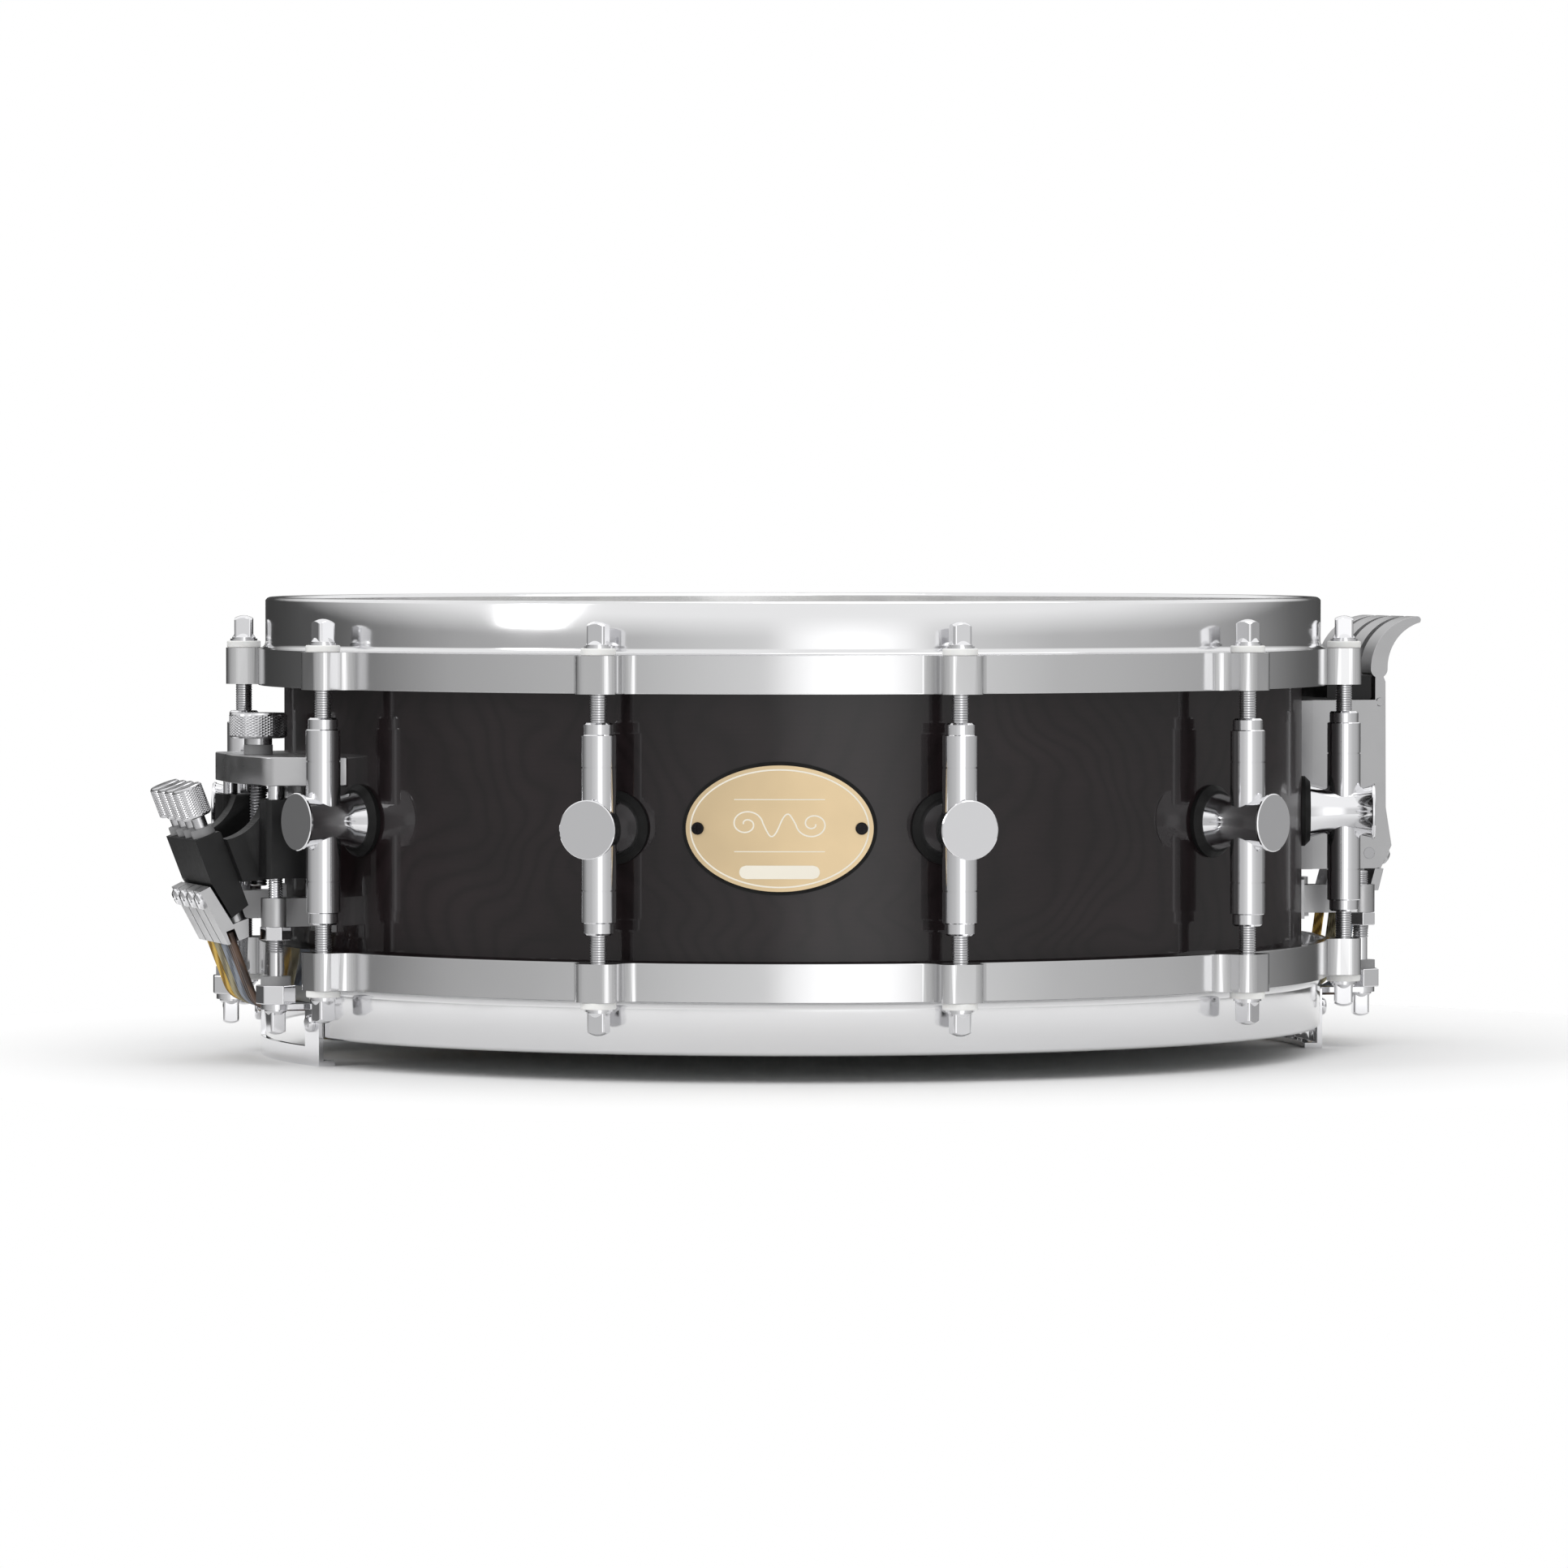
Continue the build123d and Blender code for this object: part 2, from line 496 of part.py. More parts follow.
def make_carriage():
    """Black slide: two cheeks on the guide posts, a nut bar on the lead screw and two curved arms."""
    cheek_low, cheek_high, bar_high = 64.0, 90.7, 73.0
    back, arm_top_x = 186.0, 195.5
    bar_outline = [
        (back, cheek_low), (block_plane_x(62.5), 62.5),
        (block_plane_x(bar_high), bar_high), (back, bar_high),
    ]
    bar = slab(bar_outline, -28, 28)
    saddle_end = (block_plane_x(77.0), 77.0)
    body = bar
    for side in (1, -1):
        y0 = 19.0 if side > 0 else -28.5
        foot, saddle = (block_plane_x(62.5), y0, 62.5), (saddle_end[0], y0, saddle_end[1])
        outline = [
            Line((back, y0, cheek_low), foot),
            Line(foot, saddle),
            ThreePointArc(saddle, (200.6, y0, 81.6), (arm_top_x, y0, cheek_high)),
            Line((arm_top_x, y0, cheek_high), (back, y0, cheek_high)),
            Line((back, y0, cheek_high), (back, y0, cheek_low)),
        ]
        body += extrude(make_face(Wire(outline)), amount=9.5, dir=(0, 1, 0))
        inner, outer = sorted((side * 28.0, side * 40.6))
        cheek = block(182.5, 198.5, inner, outer, cheek_low, cheek_high)
        body += fillet(cheek.edges().filter_by(Axis.Z), 2.0)
    body -= upright(LEAD_R + RUNNING_FIT, 50, 80, x=LEAD_X)
    for y in (COLUMN_Y, -COLUMN_Y):
        body -= upright(GUIDE_R + RUNNING_FIT, 50, 95, x=ADJUSTER_COLUMN_X, y=y)
    return body


def make_head_block():
    """Leaning block that guides the four cable clamps."""
    outline = [(-BLOCK_HALF, 0), (BLOCK_HALF, 0), (BLOCK_HALF, -15.5), (2.2, -29.3), (-BLOCK_HALF, -27.3)]
    points = [tilted(u, v) for u, v in outline]
    body = slab(points, -BLOCK_HALF_WIDTH, BLOCK_HALF_WIDTH)
    body = fillet(body.edges().filter_by(Axis.Y).group_by(Axis.Z)[-1], 0.8)
    for y in fine_places():
        body -= Pos(0, y, 0) * lean(upright(2.5 + RUNNING_FIT, -8, 2))
        body -= Pos(0, y, 0) * lean(upright(STEM_R + RUNNING_FIT, -40, -5))
    return body


def fine_places():
    return [FINE_PITCH * (k - 1.5) for k in range(4)]


def make_fine_knob():
    knob = turned(
        (0, -24), (1.95, -24), (1.95, -4.5), (2.5, -4.5), (2.5, FINE_LOW), (FINE_R - 0.5, FINE_LOW),
        (FINE_R, FINE_LOW + 0.5), (FINE_R, FINE_HIGH - 0.5), (FINE_R - 0.5, FINE_HIGH), (0, FINE_HIGH),
    )
    return lean(knob)


def make_cable_clamp():
    """Clamp plate, its foot with the snare slot, and the threaded stem that slides in the block."""
    half = CLAMP_WIDTH / 2
    low, high = CLAMP_FOOT_LOW, CLAMP_FOOT_HIGH
    plate_outline = [(5.5, -16.6), CLAMP_FACE_TOP, CLAMP_FACE_LOW, (2.6, low), (2.6, high)]
    foot_outline = [(-STEM_R, high), (5.0, high), (5.0, low), (-1.0, low)]
    slot_outline = [(2.7, low - 1), (5.8, low - 1), (5.8, -33.0), (2.7, -33.0)]
    plate, foot, slot = (
        slab([tilted(*point) for point in outline], -half, half)
        for outline in (plate_outline, foot_outline, slot_outline)
    )
    stem = lean(upright(STEM_R, low + 3, -12))
    thread = lean(upright(2.02, -26, -10))
    return plate + foot + stem - slot - thread - on_clamp_face(upright(1.55, -6, 1))


def on_clamp_face(shape):
    """Move a shape drawn along Z to the clamp plate's outer face, pointing out of it."""
    (x0, z0), (x1, z1) = tilted(*CLAMP_FACE_TOP), tilted(*CLAMP_FACE_LOW)
    face_lean = math.degrees(math.atan2(x0 - x1, z0 - z1))
    x, z = x0 + CLAMP_SCREW_AT * (x1 - x0), z0 + CLAMP_SCREW_AT * (z1 - z0)
    return Pos(x, 0, z) * Rot(0, 90 + face_lean, 0) * shape


def make_clamp_screw():
    head = turned((0, 0.02), (3.1, 0.02), (3.1, 0.9), (2.2, 1.9), (0, 2.1))
    slot = Pos(0, 0, 2.0) * Box(0.7, 5, 1.4)
    return on_clamp_face(head + upright(1.5, -3.4, 0.1) - slot)


# ---------------------------------------------------------------- throw-off
def make_housing():
    """Mounting plate on the shell with two cheeks."""
    body = block(170, 181.5, -33, 33, HOUSING_LOW, HOUSING_HIGH)
    for side in (1, -1):
        inner, outer = sorted((side * CHEEK_IN, side * CHEEK_OUT))
        cheek = slab([(170, HOUSING_LOW), (CHEEK_FACE, HOUSING_LOW), (CHEEK_FACE, HOUSING_HIGH - 0.6),
                      (CHEEK_FACE - 0.6, HOUSING_HIGH), (170, HOUSING_HIGH)], inner, outer)
        body += cheek
    body -= upright(SHELL_R + 0.02, 0, 160)
    body -= across(AXLE_R + 0.02, AXLE_X, AXLE_Z, -40, 40)
    for side in (1, -1):
        body -= outward(1.55, 170, 185, MID_Z + 8 + side * 16)
    return body


def make_insert():
    """Black filler behind the levers, which holds their detent springs."""
    points = [(181.6, 76), (199, 76), (199, 117), (205.4, 122.9), (205.4, 131), (188.5, 131),
              (188.5, 122.9), (181.6, 122.0)]
    body = slab(points, -CHEEK_IN + 0.1, CHEEK_IN - 0.1)
    for side in (1, -1):
        body -= outward(2.0, 180, 184, MID_Z + 8 + side * 16)
    return body


def lever_places():
    return [LEVER_PITCH * (k - 1.5) for k in range(4)]


def make_lever():
    """Throw lever: a flat bar on the axle with a curved finger horn on top."""
    half = LEVER_WIDTH / 2
    bar_outline = [
        (206.9, 62.6), (209.2, 62.6), (213.2, 70.5), (211.0, 84), (210.8, 128.5),
        (209.6, 131.5), (206.9, 131.5),
    ]
    bar = slab(bar_outline, -half, half)
    web = block(AXLE_X, 208, -half, half, AXLE_Z - 4, AXLE_Z + 4)
    knuckle = across(4.2, AXLE_X, AXLE_Z, -half, half)
    a, b, c, d = (205.2, 133), (222.7, 151.7), (223.7, 149.5), (211.6, 133)
    horn_edges = [
        ThreePointArc(side_point(a, half), side_point((209.6, 144.9), half), side_point(b, half)),
        ThreePointArc(side_point(b, half), side_point((224.0, 150.9), half), side_point(c, half)),
        ThreePointArc(side_point(c, half), side_point((214.7, 143.2), half), side_point(d, half)),
        ThreePointArc(side_point(d, half), side_point((208.4, 129.9), half), side_point(a, half)),
    ]
    horn = extrude(make_face(Wire(horn_edges)), amount=2 * half, dir=(0, 1, 0))
    lever = bar + web + knuckle + horn
    lever -= across(AXLE_R + RUNNING_FIT, AXLE_X, AXLE_Z, -20, 20)
    lever -= across(1.42, CATCH_X, CATCH_Z, -20, 20)
    return lever - lever_screw(1.55)


def side_point(point, half):
    return (point[0], -half, point[1])


def make_catch_pin():
    half = LEVER_WIDTH / 2
    return across(1.4, CATCH_X, CATCH_Z, -half - 0.8, half + 0.8)


def lever_screw(radius):
    """Clamp screw's shank, square to the lever's lower face."""
    bar = Cylinder(radius, 6.0, align=(Align.CENTER, Align.CENTER, Align.MIN))
    return Pos(212.3, 0, 66.2) * Rot(0, -90 + 28, 0) * bar


def make_lever_clamp():
    """Bar under the lever that nips the snares, and its screw."""
    half = LEVER_WIDTH / 2
    bar = slab([(206.9, 62.4), (210.3, 62.4), (207.4, 51.2), (203.9, 52.0)], -half, half)
    slot = slab([(205.6, 54.6), (204.0, 50.0), (207.6, 50.0), (208.3, 54.6)], -half, half)
    head = turned((0, 0), (2.9, 0), (2.9, 1.2), (2.2, 2.1), (0, 2.3))
    return [bar, Pos(211.5, 0, 66.7) * Rot(0, 90 + 28, 0) * head, slot]


# ---------------------------------------------------------------- snares
def snare_route(number):
    """Corner points of a snare set's middle line, from the adjuster's clamp to the lever's clamp.

    They are in the throw-off's side frame, where the adjuster is at negative X.
    """
    radius = SNARE_SETS[number][0]
    bed_z = MID_Z - SHELL_HALF - HEAD_FILM - SNARE_GAP - radius
    start_x, start_z = tilted(4.25, -34.0)
    drop = (start_z - bed_z) * math.tan(math.radians(TILT))
    start_y = -fine_places()[number]
    end_y = -lever_places()[number]
    return [
        (-start_x, start_y, start_z), (-(start_x - drop), start_y, bed_z),
        (200.8, end_y, bed_z), (205.3, end_y, 50.6),
    ]


def make_snare_set(number):
    radius, count, spacing = SNARE_SETS[number]
    cables = []
    for k in range(count):
        shift = spacing * (k - (count - 1) / 2)
        points = [(x, y + shift, z) for x, y, z in snare_route(number)]
        path = FilletPolyline(*points, radius=9.0)
        start = Plane(origin=points[0], z_dir=Vector(*points[1]) - Vector(*points[0]))
        cables.append(sweep(start * Circle(radius), path=path))
    return [facing(THROWOFF_ANGLE, cable) for cable in cables]


# ---------------------------------------------------------------- build every node
write("shell", [make_shell()])
top_hoop = make_hoop()
gates = around(gate_cut(), [ADJUSTER_ANGLE, THROWOFF_ANGLE])
screw_angle = (GATE_HALF_ANGLE + GUARD_HALF_ANGLE) / 2
gate_sides = [base + side * screw_angle for base in (ADJUSTER_ANGLE, THROWOFF_ANGLE) for side in (1, -1)]
write("top_hoop", [top_hoop])
write("bottom_hoop", [both_ends(top_hoop)[1] - gates - around(outward(1.5, 175, 190, z=14.5), gate_sides)])
for side, name in ((1, "batter"), (-1, "snare")):
    skin, flesh_hoop = make_head(side)
    write(name + "_head", [skin])
    write(name + "_flesh_hoop", [flesh_hoop])

write("lug_posts", around(make_lug_post()))
write("lug_tubes", around(make_lug_tube()))
write("lug_gaskets", around(make_lug_gasket()))
write("lug_screws", [facing(a, shape) for a in LUG_ANGLES for shape in inside_screw(2.0, 186.4)])
write("swivel_nuts", [end for shape in around(make_swivel_nut()) for end in both_ends(shape)])
rod, steel_washer, nylon_washer = make_rod()
write("tension_rods", [end for shape in around(rod) for end in both_ends(shape)])
write("rod_steel_washers", [end for shape in around(steel_washer) for end in both_ends(shape)])
write("rod_nylon_washers", [end for shape in around(nylon_washer) for end in both_ends(shape)])

badge_gasket, badge_plate, badge_screws = make_badge()
write("badge_gasket", [badge_gasket])
write("badge_plate", [badge_plate])
write("badge_screws", badge_screws)

guards = [
    facing(ADJUSTER_ANGLE, make_guard(ADJUSTER_COLUMN_X)),
    facing(THROWOFF_ANGLE, make_guard(THROWOFF_COLUMN_X)),
]
write("gate_guards", guards)
write("guard_screws", around(guard_screw(), gate_sides))
ties = []
gate_columns = [
    (ADJUSTER_ANGLE, ADJUSTER_COLUMN_X, ADJUSTER_TIE_TIP),
    (THROWOFF_ANGLE, THROWOFF_COLUMN_X, THROWOFF_TIE_TIP),
]
for base, column_x, tip in gate_columns:
    for side in (1, -1):
        angle = base + side * column(column_x)[1]
        ties.append([facing(angle, shape) for shape in make_tie(column_x, tip)])
write("tie_bolts", [tie[0] for tie in ties])
write("tie_spacers", [tie[1] for tie in ties])
master_washer = upright(5.0, BRACKET_HIGH + 0.05, KNOB_LOW - 2.3, x=LEAD_X)
master_washer -= upright(LEAD_R + RUNNING_FIT, 100, 120, x=LEAD_X)
write("nylon_spacers", [tie[2] for tie in ties] + [facing(ADJUSTER_ANGLE, master_washer)])
write("tie_nuts", [tie[3] for tie in ties])
write("tie_arms", [tie[4] for tie in ties])

write("adjuster_bracket", [facing(ADJUSTER_ANGLE, make_bracket())])
post_places = [Pos(0, side * COLUMN_Y, 0) * make_guide_post() for side in (1, -1)]
write("guide_posts", [facing(ADJUSTER_ANGLE, shape) for shape in post_places])
write("bracket_screws", bracket_screws())
write("master_knob", [facing(ADJUSTER_ANGLE, make_master_knob())])
write("lead_screw", [facing(ADJUSTER_ANGLE, upright(LEAD_R, 60, KNOB_HIGH - 2.1, x=LEAD_X))])
write("carriage", [facing(ADJUSTER_ANGLE, make_carriage())])
write("head_block", [facing(ADJUSTER_ANGLE, make_head_block())])
fine_washer = lean(ring(2.5 + RUNNING_FIT, 4.0, 0.02, 2.8))
write("fine_knob_washers", [facing(ADJUSTER_ANGLE, Pos(0, y, 0) * fine_washer) for y in fine_places()])
for number, y in enumerate(fine_places(), start=1):
    place = Rot(0, 0, ADJUSTER_ANGLE - 90) * Pos(0, y, 0)
    write(f"fine_knob_{number}", [place * make_fine_knob()])
    write(f"cable_clamp_{number}", [place * make_cable_clamp()])
    write(f"clamp_screw_{number}", [place * make_clamp_screw()])

write("throwoff_housing", [facing(THROWOFF_ANGLE, make_housing())])
write("throwoff_insert", [facing(THROWOFF_ANGLE, make_insert())])
write("lever_axle", [facing(THROWOFF_ANGLE, across(AXLE_R, AXLE_X, AXLE_Z, -CHEEK_OUT, CHEEK_OUT))])
for number, y in enumerate(lever_places(), start=1):
    place = Rot(0, 0, THROWOFF_ANGLE - 90) * Pos(0, -y, 0)
    clamp_bar, screw_head, nip = make_lever_clamp()
    write(f"throw_lever_{number}", [place * make_lever(), place * make_catch_pin()])
    write(f"lever_clamp_{number}", [place * (clamp_bar - nip), place * (screw_head + lever_screw(1.5))])
for number in range(4):
    write(f"snare_set_{number + 1}", make_snare_set(number))
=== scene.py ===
import json
import math

import bmesh
import bpy
from mathutils import Matrix, Vector


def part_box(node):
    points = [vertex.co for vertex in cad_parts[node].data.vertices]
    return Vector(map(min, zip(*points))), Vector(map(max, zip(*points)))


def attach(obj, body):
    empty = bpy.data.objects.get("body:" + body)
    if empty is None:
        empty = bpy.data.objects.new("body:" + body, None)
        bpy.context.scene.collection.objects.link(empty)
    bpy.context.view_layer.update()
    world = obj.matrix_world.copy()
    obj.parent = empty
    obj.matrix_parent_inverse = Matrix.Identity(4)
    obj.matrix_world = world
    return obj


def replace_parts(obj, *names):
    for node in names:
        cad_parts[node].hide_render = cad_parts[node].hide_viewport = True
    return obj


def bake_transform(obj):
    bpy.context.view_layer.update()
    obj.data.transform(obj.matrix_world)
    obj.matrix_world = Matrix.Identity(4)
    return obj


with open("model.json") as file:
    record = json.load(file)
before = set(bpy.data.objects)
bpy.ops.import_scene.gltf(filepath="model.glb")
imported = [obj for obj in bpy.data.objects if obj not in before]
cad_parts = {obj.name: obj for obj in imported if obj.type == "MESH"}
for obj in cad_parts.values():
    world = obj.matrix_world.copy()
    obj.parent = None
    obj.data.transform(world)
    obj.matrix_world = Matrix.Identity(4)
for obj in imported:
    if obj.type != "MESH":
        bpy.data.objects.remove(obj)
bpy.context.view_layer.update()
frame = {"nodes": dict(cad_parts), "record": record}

bl_info = {
    "name": "Concert snare drum",
    "version": (1, 0, 0),
    "blender": (4, 5, 0),
    "location": "3D View > Sidebar > Snare drum",
    "description": "Finishes a 14 x 5 inch concert snare drum round its CAD frame",
    "category": "Object",
}

MM = 0.001
NODES = frame["nodes"]
MID_Z = (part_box("shell")[0].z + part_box("shell")[1].z) / 2
SHELL_R = (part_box("shell")[1].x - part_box("shell")[0].x) / 2
LUG_ANGLES = [18 + 36 * k for k in range(10)]
ADJUSTER, THROWOFF = -72.0, 108.0      # angles from the badge, in degrees
SMOOTH_ANGLE = math.radians(34)
KNURL_SMOOTH_ANGLE = math.radians(12)
WELD = 2e-6                            # metres between vertices that are the same corner

# Places in a side's own frame (X outward, Y along the rim, Z up), in mm.
ROD_X = 192.8
LEAD_SCREW_X = 192.0
ADJUSTER_POST_X, THROWOFF_POST_X = 194.0, 199.0
POST_Y = 34.4
BLOCK_X, BLOCK_Z = 215.0, 78.15        # top of the leaning head block
BLOCK_LEAN = math.radians(21.0)
CLAMP_SPACING, LEVER_SPACING = 11.6, 15.0


# ---------------------------------------------------------------- sizes and colours a user may change
class DrumSizes(bpy.types.PropertyGroup):
    thread_pitch: bpy.props.FloatProperty(
        name="Thread pitch", description="Pitch of the tension rods' threads",
        default=0.8 * MM, min=0.4 * MM, max=2 * MM, unit="LENGTH")
    knurl_pitch: bpy.props.FloatProperty(
        name="Knurl pitch", description="Width of one diamond of the knurling",
        default=1.0 * MM, min=0.6 * MM, max=3 * MM, unit="LENGTH")
    knurl_depth: bpy.props.FloatProperty(
        name="Knurl depth", description="Height of one diamond of the knurling",
        default=0.26 * MM, min=0.05 * MM, max=1 * MM, unit="LENGTH")
    edge_break: bpy.props.FloatProperty(
        name="Edge break", description="Rounding of machined edges",
        default=0.35 * MM, min=0.05 * MM, max=1 * MM, unit="LENGTH")
    figure_spacing: bpy.props.FloatProperty(
        name="Figure spacing", description="Distance between the dark lines of the maple's figure",
        default=4.0 * MM, min=1 * MM, max=20 * MM, unit="LENGTH")


def colour_property(name, code, about):
    return bpy.props.FloatVectorProperty(
        name=name, description=about, default=linear(code), size=3, min=0, max=1, subtype="COLOR")


def linear(code):
    """Linear colour of an sRGB hex code."""
    parts = [int(code[i:i + 2], 16) / 255 for i in (1, 3, 5)]
    return tuple(c / 12.92 if c <= 0.04045 else ((c + 0.055) / 1.055) ** 2.4 for c in parts)


class DrumColours(bpy.types.PropertyGroup):
    stain_light: colour_property("Stain, light grain", "#1f1719", "Stained maple between the figure's lines")
    stain_dark: colour_property("Stain, dark grain", "#0d0809", "Stained maple in the figure's lines")
    badge_gold: colour_property("Badge gold", "#dcc49c", "Champagne gold of the badge plate")


# ---------------------------------------------------------------- materials
def add(tree, kind, inputs=None, **settings):
    """Add a node; a socket among its inputs is linked, anything else is set as the value."""
    node = tree.nodes.new(kind)
    for key, value in settings.items():
        setattr(node, key, value)
    for key, value in (inputs or {}).items():
        if isinstance(value, bpy.types.NodeSocket):
            tree.links.new(value, node.inputs[key])
        else:
            node.inputs[key].default_value = value
    return node


def surface(name, **sockets):
    """A new material with one Principled shader; its constant values sit on the shader's sockets."""
    material = bpy.data.materials.new(name)
    material.use_nodes = True
    tree = material.node_tree
    shader = tree.nodes["Principled BSDF"]
    for key, value in sockets.items():
        shader.inputs[key.replace("_", " ")].default_value = value
    return material, tree, shader


def rgba(code):
    return (*linear(code), 1.0)


def ramp(tree, factor, *stops):
    node = add(tree, "ShaderNodeValToRGB", {"Fac": factor})
    elements = node.color_ramp.elements
    while len(elements) < len(stops):
        elements.new(0.5)
    for element, (position, value) in zip(elements, stops):
        element.position = position
        element.color = value if isinstance(value, tuple) else (value, value, value, 1)
    return node.outputs["Color"]


def place_on_object(tree):
    return add(tree, "ShaderNodeTexCoord").outputs["Object"]


def noise(tree, size, detail=3.0, vector=None, distortion=0.0):
    """Noise with features of a given real size, in metres."""
    node = add(tree, "ShaderNodeTexNoise", {
        "Vector": vector or place_on_object(tree), "Scale": 1 / size, "Detail": detail,
        "Distortion": distortion,
    })
    return node.outputs["Fac"]


def bump(tree, shader, height, depth, strength=1.0):
    node = add(tree, "ShaderNodeBump", {"Height": height, "Strength": strength, "Distance": depth})
    tree.links.new(node.outputs["Normal"], shader.inputs["Normal"])


def mottle(tree, shader, socket, size, low, high):
    """Let a value wander a little over the surface, as handling and plating leave it."""
    values = add(tree, "ShaderNodeMapRange", {
        "Value": noise(tree, size), "From Min": 0.3, "From Max": 0.7, "To Min": low, "To Max": high})
    tree.links.new(values.outputs["Result"], shader.inputs[socket])


def chrome_plate():
    """Chrome plate over buffed brass: bright grey, with the faint waviness that hand buffing leaves."""
    material, tree, shader = surface("chrome_plate", Base_Color=rgba("#e6e6e8"), Metallic=1.0)
    mottle(tree, shader, "Roughness", 14 * MM, 0.05, 0.10)
    bump(tree, shader, noise(tree, 9 * MM, detail=1.0), 0.05 * MM, strength=0.25)
    return material


def chrome_hoop():
    """Chrome plate over cast zinc: softer reflections than turned brass, slightly clouded."""
    material, tree, shader = surface("chrome_hoop", Base_Color=rgba("#dededf"), Metallic=1.0)
    mottle(tree, shader, "Roughness", 30 * MM, 0.07, 0.16)
    bump(tree, shader, noise(tree, 16 * MM, detail=2.0), 0.12 * MM, strength=0.3)
    return material


def knurled_chrome():
    """Knurled and chromed brass: bright points over darker valleys."""
    material, tree, shader = surface("knurled_chrome", Base_Color=rgba("#cfcfd1"), Metallic=1.0)
    mottle(tree, shader, "Roughness", 3 * MM, 0.16, 0.30)
    return material


def zinc_plate():
    """Bright zinc plate on steel screws: grey with a faint cloudiness."""
    material, tree, shader = surface("zinc_plate", Base_Color=rgba("#b4b4b6"), Metallic=1.0)
    mottle(tree, shader, "Roughness", 4 * MM, 0.22, 0.38)
    return material


def satin_nickel():
    """Bead-blasted nickel plate: even grey with a soft sheen and fine grit."""
    material, tree, shader = surface("satin_nickel", Base_Color=rgba("#b9b9ba"), Metallic=1.0)
    mottle(tree, shader, "Roughness", 8 * MM, 0.27, 0.38)
    # The grit is really about 0.1 mm; it is drawn at 0.5 mm so that it shows.
    bump(tree, shader, noise(tree, 0.5 * MM, detail=2.0), 0.02 * MM, strength=0.35)
    return material


def black_anodised():
    """Black anodised aluminium: near black with a dull sheen along its edges."""
    material, tree, shader = surface("black_anodised", Base_Color=rgba("#0c0c0d"), Metallic=0.0)
    shader.inputs["Specular IOR Level"].default_value = 0.35
    mottle(tree, shader, "Roughness", 6 * MM, 0.38, 0.52)
    bump(tree, shader, noise(tree, 0.6 * MM, detail=2.0), 0.02 * MM, strength=0.3)
    return material


def black_rubber():
    """Moulded black rubber: matt, with a hint of grey where it is rubbed."""
    material, tree, shader = surface("black_rubber", Base_Color=rgba("#0a0a0a"), Roughness=0.6)
    shader.inputs["Specular IOR Level"].default_value = 0.25
    mottle(tree, shader, "Roughness", 5 * MM, 0.5, 0.7)
    return material


def black_oxide():
    """Black oxide on small steel screws: dark with a soft shine on the head."""
    material, tree, shader = surface("black_oxide", Base_Color=rgba("#242325"), Metallic=1.0)
    mottle(tree, shader, "Roughness", 2 * MM, 0.28, 0.42)
    return material


def white_nylon():
    """Moulded white nylon: slightly translucent and waxy."""
    material, tree, shader = surface("white_nylon", Base_Color=rgba("#eeeeec"), Roughness=0.42)
    shader.inputs["Subsurface Weight"].default_value = 0.15
    shader.inputs["Subsurface Radius"].default_value = (1.2 * MM, 1.1 * MM, 1.0 * MM)
    mottle(tree, shader, "Roughness", 3 * MM, 0.36, 0.5)
    return material


def grey_nylon():
    """Moulded grey nylon washers: matt mid grey."""
    material, tree, shader = surface("grey_nylon", Base_Color=rgba("#8b8b8c"), Roughness=0.5)
    mottle(tree, shader, "Roughness", 3 * MM, 0.42, 0.58)
    return material


def plain_aluminium():
    """Rolled aluminium of the flesh hoops: pale grey with soft reflections."""
    material, tree, shader = surface("plain_aluminium", Base_Color=rgba("#bfc0c2"), Metallic=1.0)
    mottle(tree, shader, "Roughness", 10 * MM, 0.3, 0.42)
    return material


def coated_film():
    """Sprayed white coating on polyester film: matt, with a fine sandy tooth."""
    material, tree, shader = surface("coated_film", Base_Color=rgba("#dddcd7"), Roughness=0.7)
    tone = ramp(tree, noise(tree, 60 * MM, detail=4.0), (0.3, rgba("#dad9d4")), (0.7, rgba("#e6e5e0")))
    tree.links.new(tone, shader.inputs["Base Color"])
    # The coating's grit is about 0.3 mm; it is drawn at 0.9 mm so that it shows.
    bump(tree, shader, noise(tree, 0.9 * MM, detail=3.0), 0.05 * MM, strength=0.5)
    return material


def clear_film():
    """Thin hazy polyester film: milky, glossy and see-through."""
    material, tree, shader = surface("clear_film", Base_Color=rgba("#d9dcdc"), Roughness=0.18, Alpha=0.55)
    mottle(tree, shader, "Roughness", 40 * MM, 0.14, 0.24)
    return material


def champagne_gold():
    """Anodised champagne gold plate: warm and satin, a touch deeper in random patches."""
    code = bpy.context.scene.drum_colours.badge_gold
    material, tree, shader = surface("champagne_gold", Metallic=0.55, Roughness=0.36)
    dark = tuple(c * 0.93 for c in code)
    tone = ramp(tree, noise(tree, 18 * MM, detail=2.0), (0.3, (*dark, 1)), (0.7, (*code, 1)))
    tree.links.new(tone, shader.inputs["Base Color"])
    # Brushing lines run level; they are drawn 0.4 mm apart so that they show.
    stretch = add(tree, "ShaderNodeMapping", {"Vector": place_on_object(tree), "Scale": (0.04, 0.04, 1.0)})
    bump(tree, shader, noise(tree, 0.4 * MM, vector=stretch.outputs["Vector"]), 0.02 * MM, strength=0.15)
    return material


def badge_print():
    """Screen-printed white lines on the badge: thin, slightly raised ink."""
    material, tree, shader = surface("badge_print", Base_Color=rgba("#efe9da"), Roughness=0.5)
    mottle(tree, shader, "Roughness", 2 * MM, 0.45, 0.6)
    return material


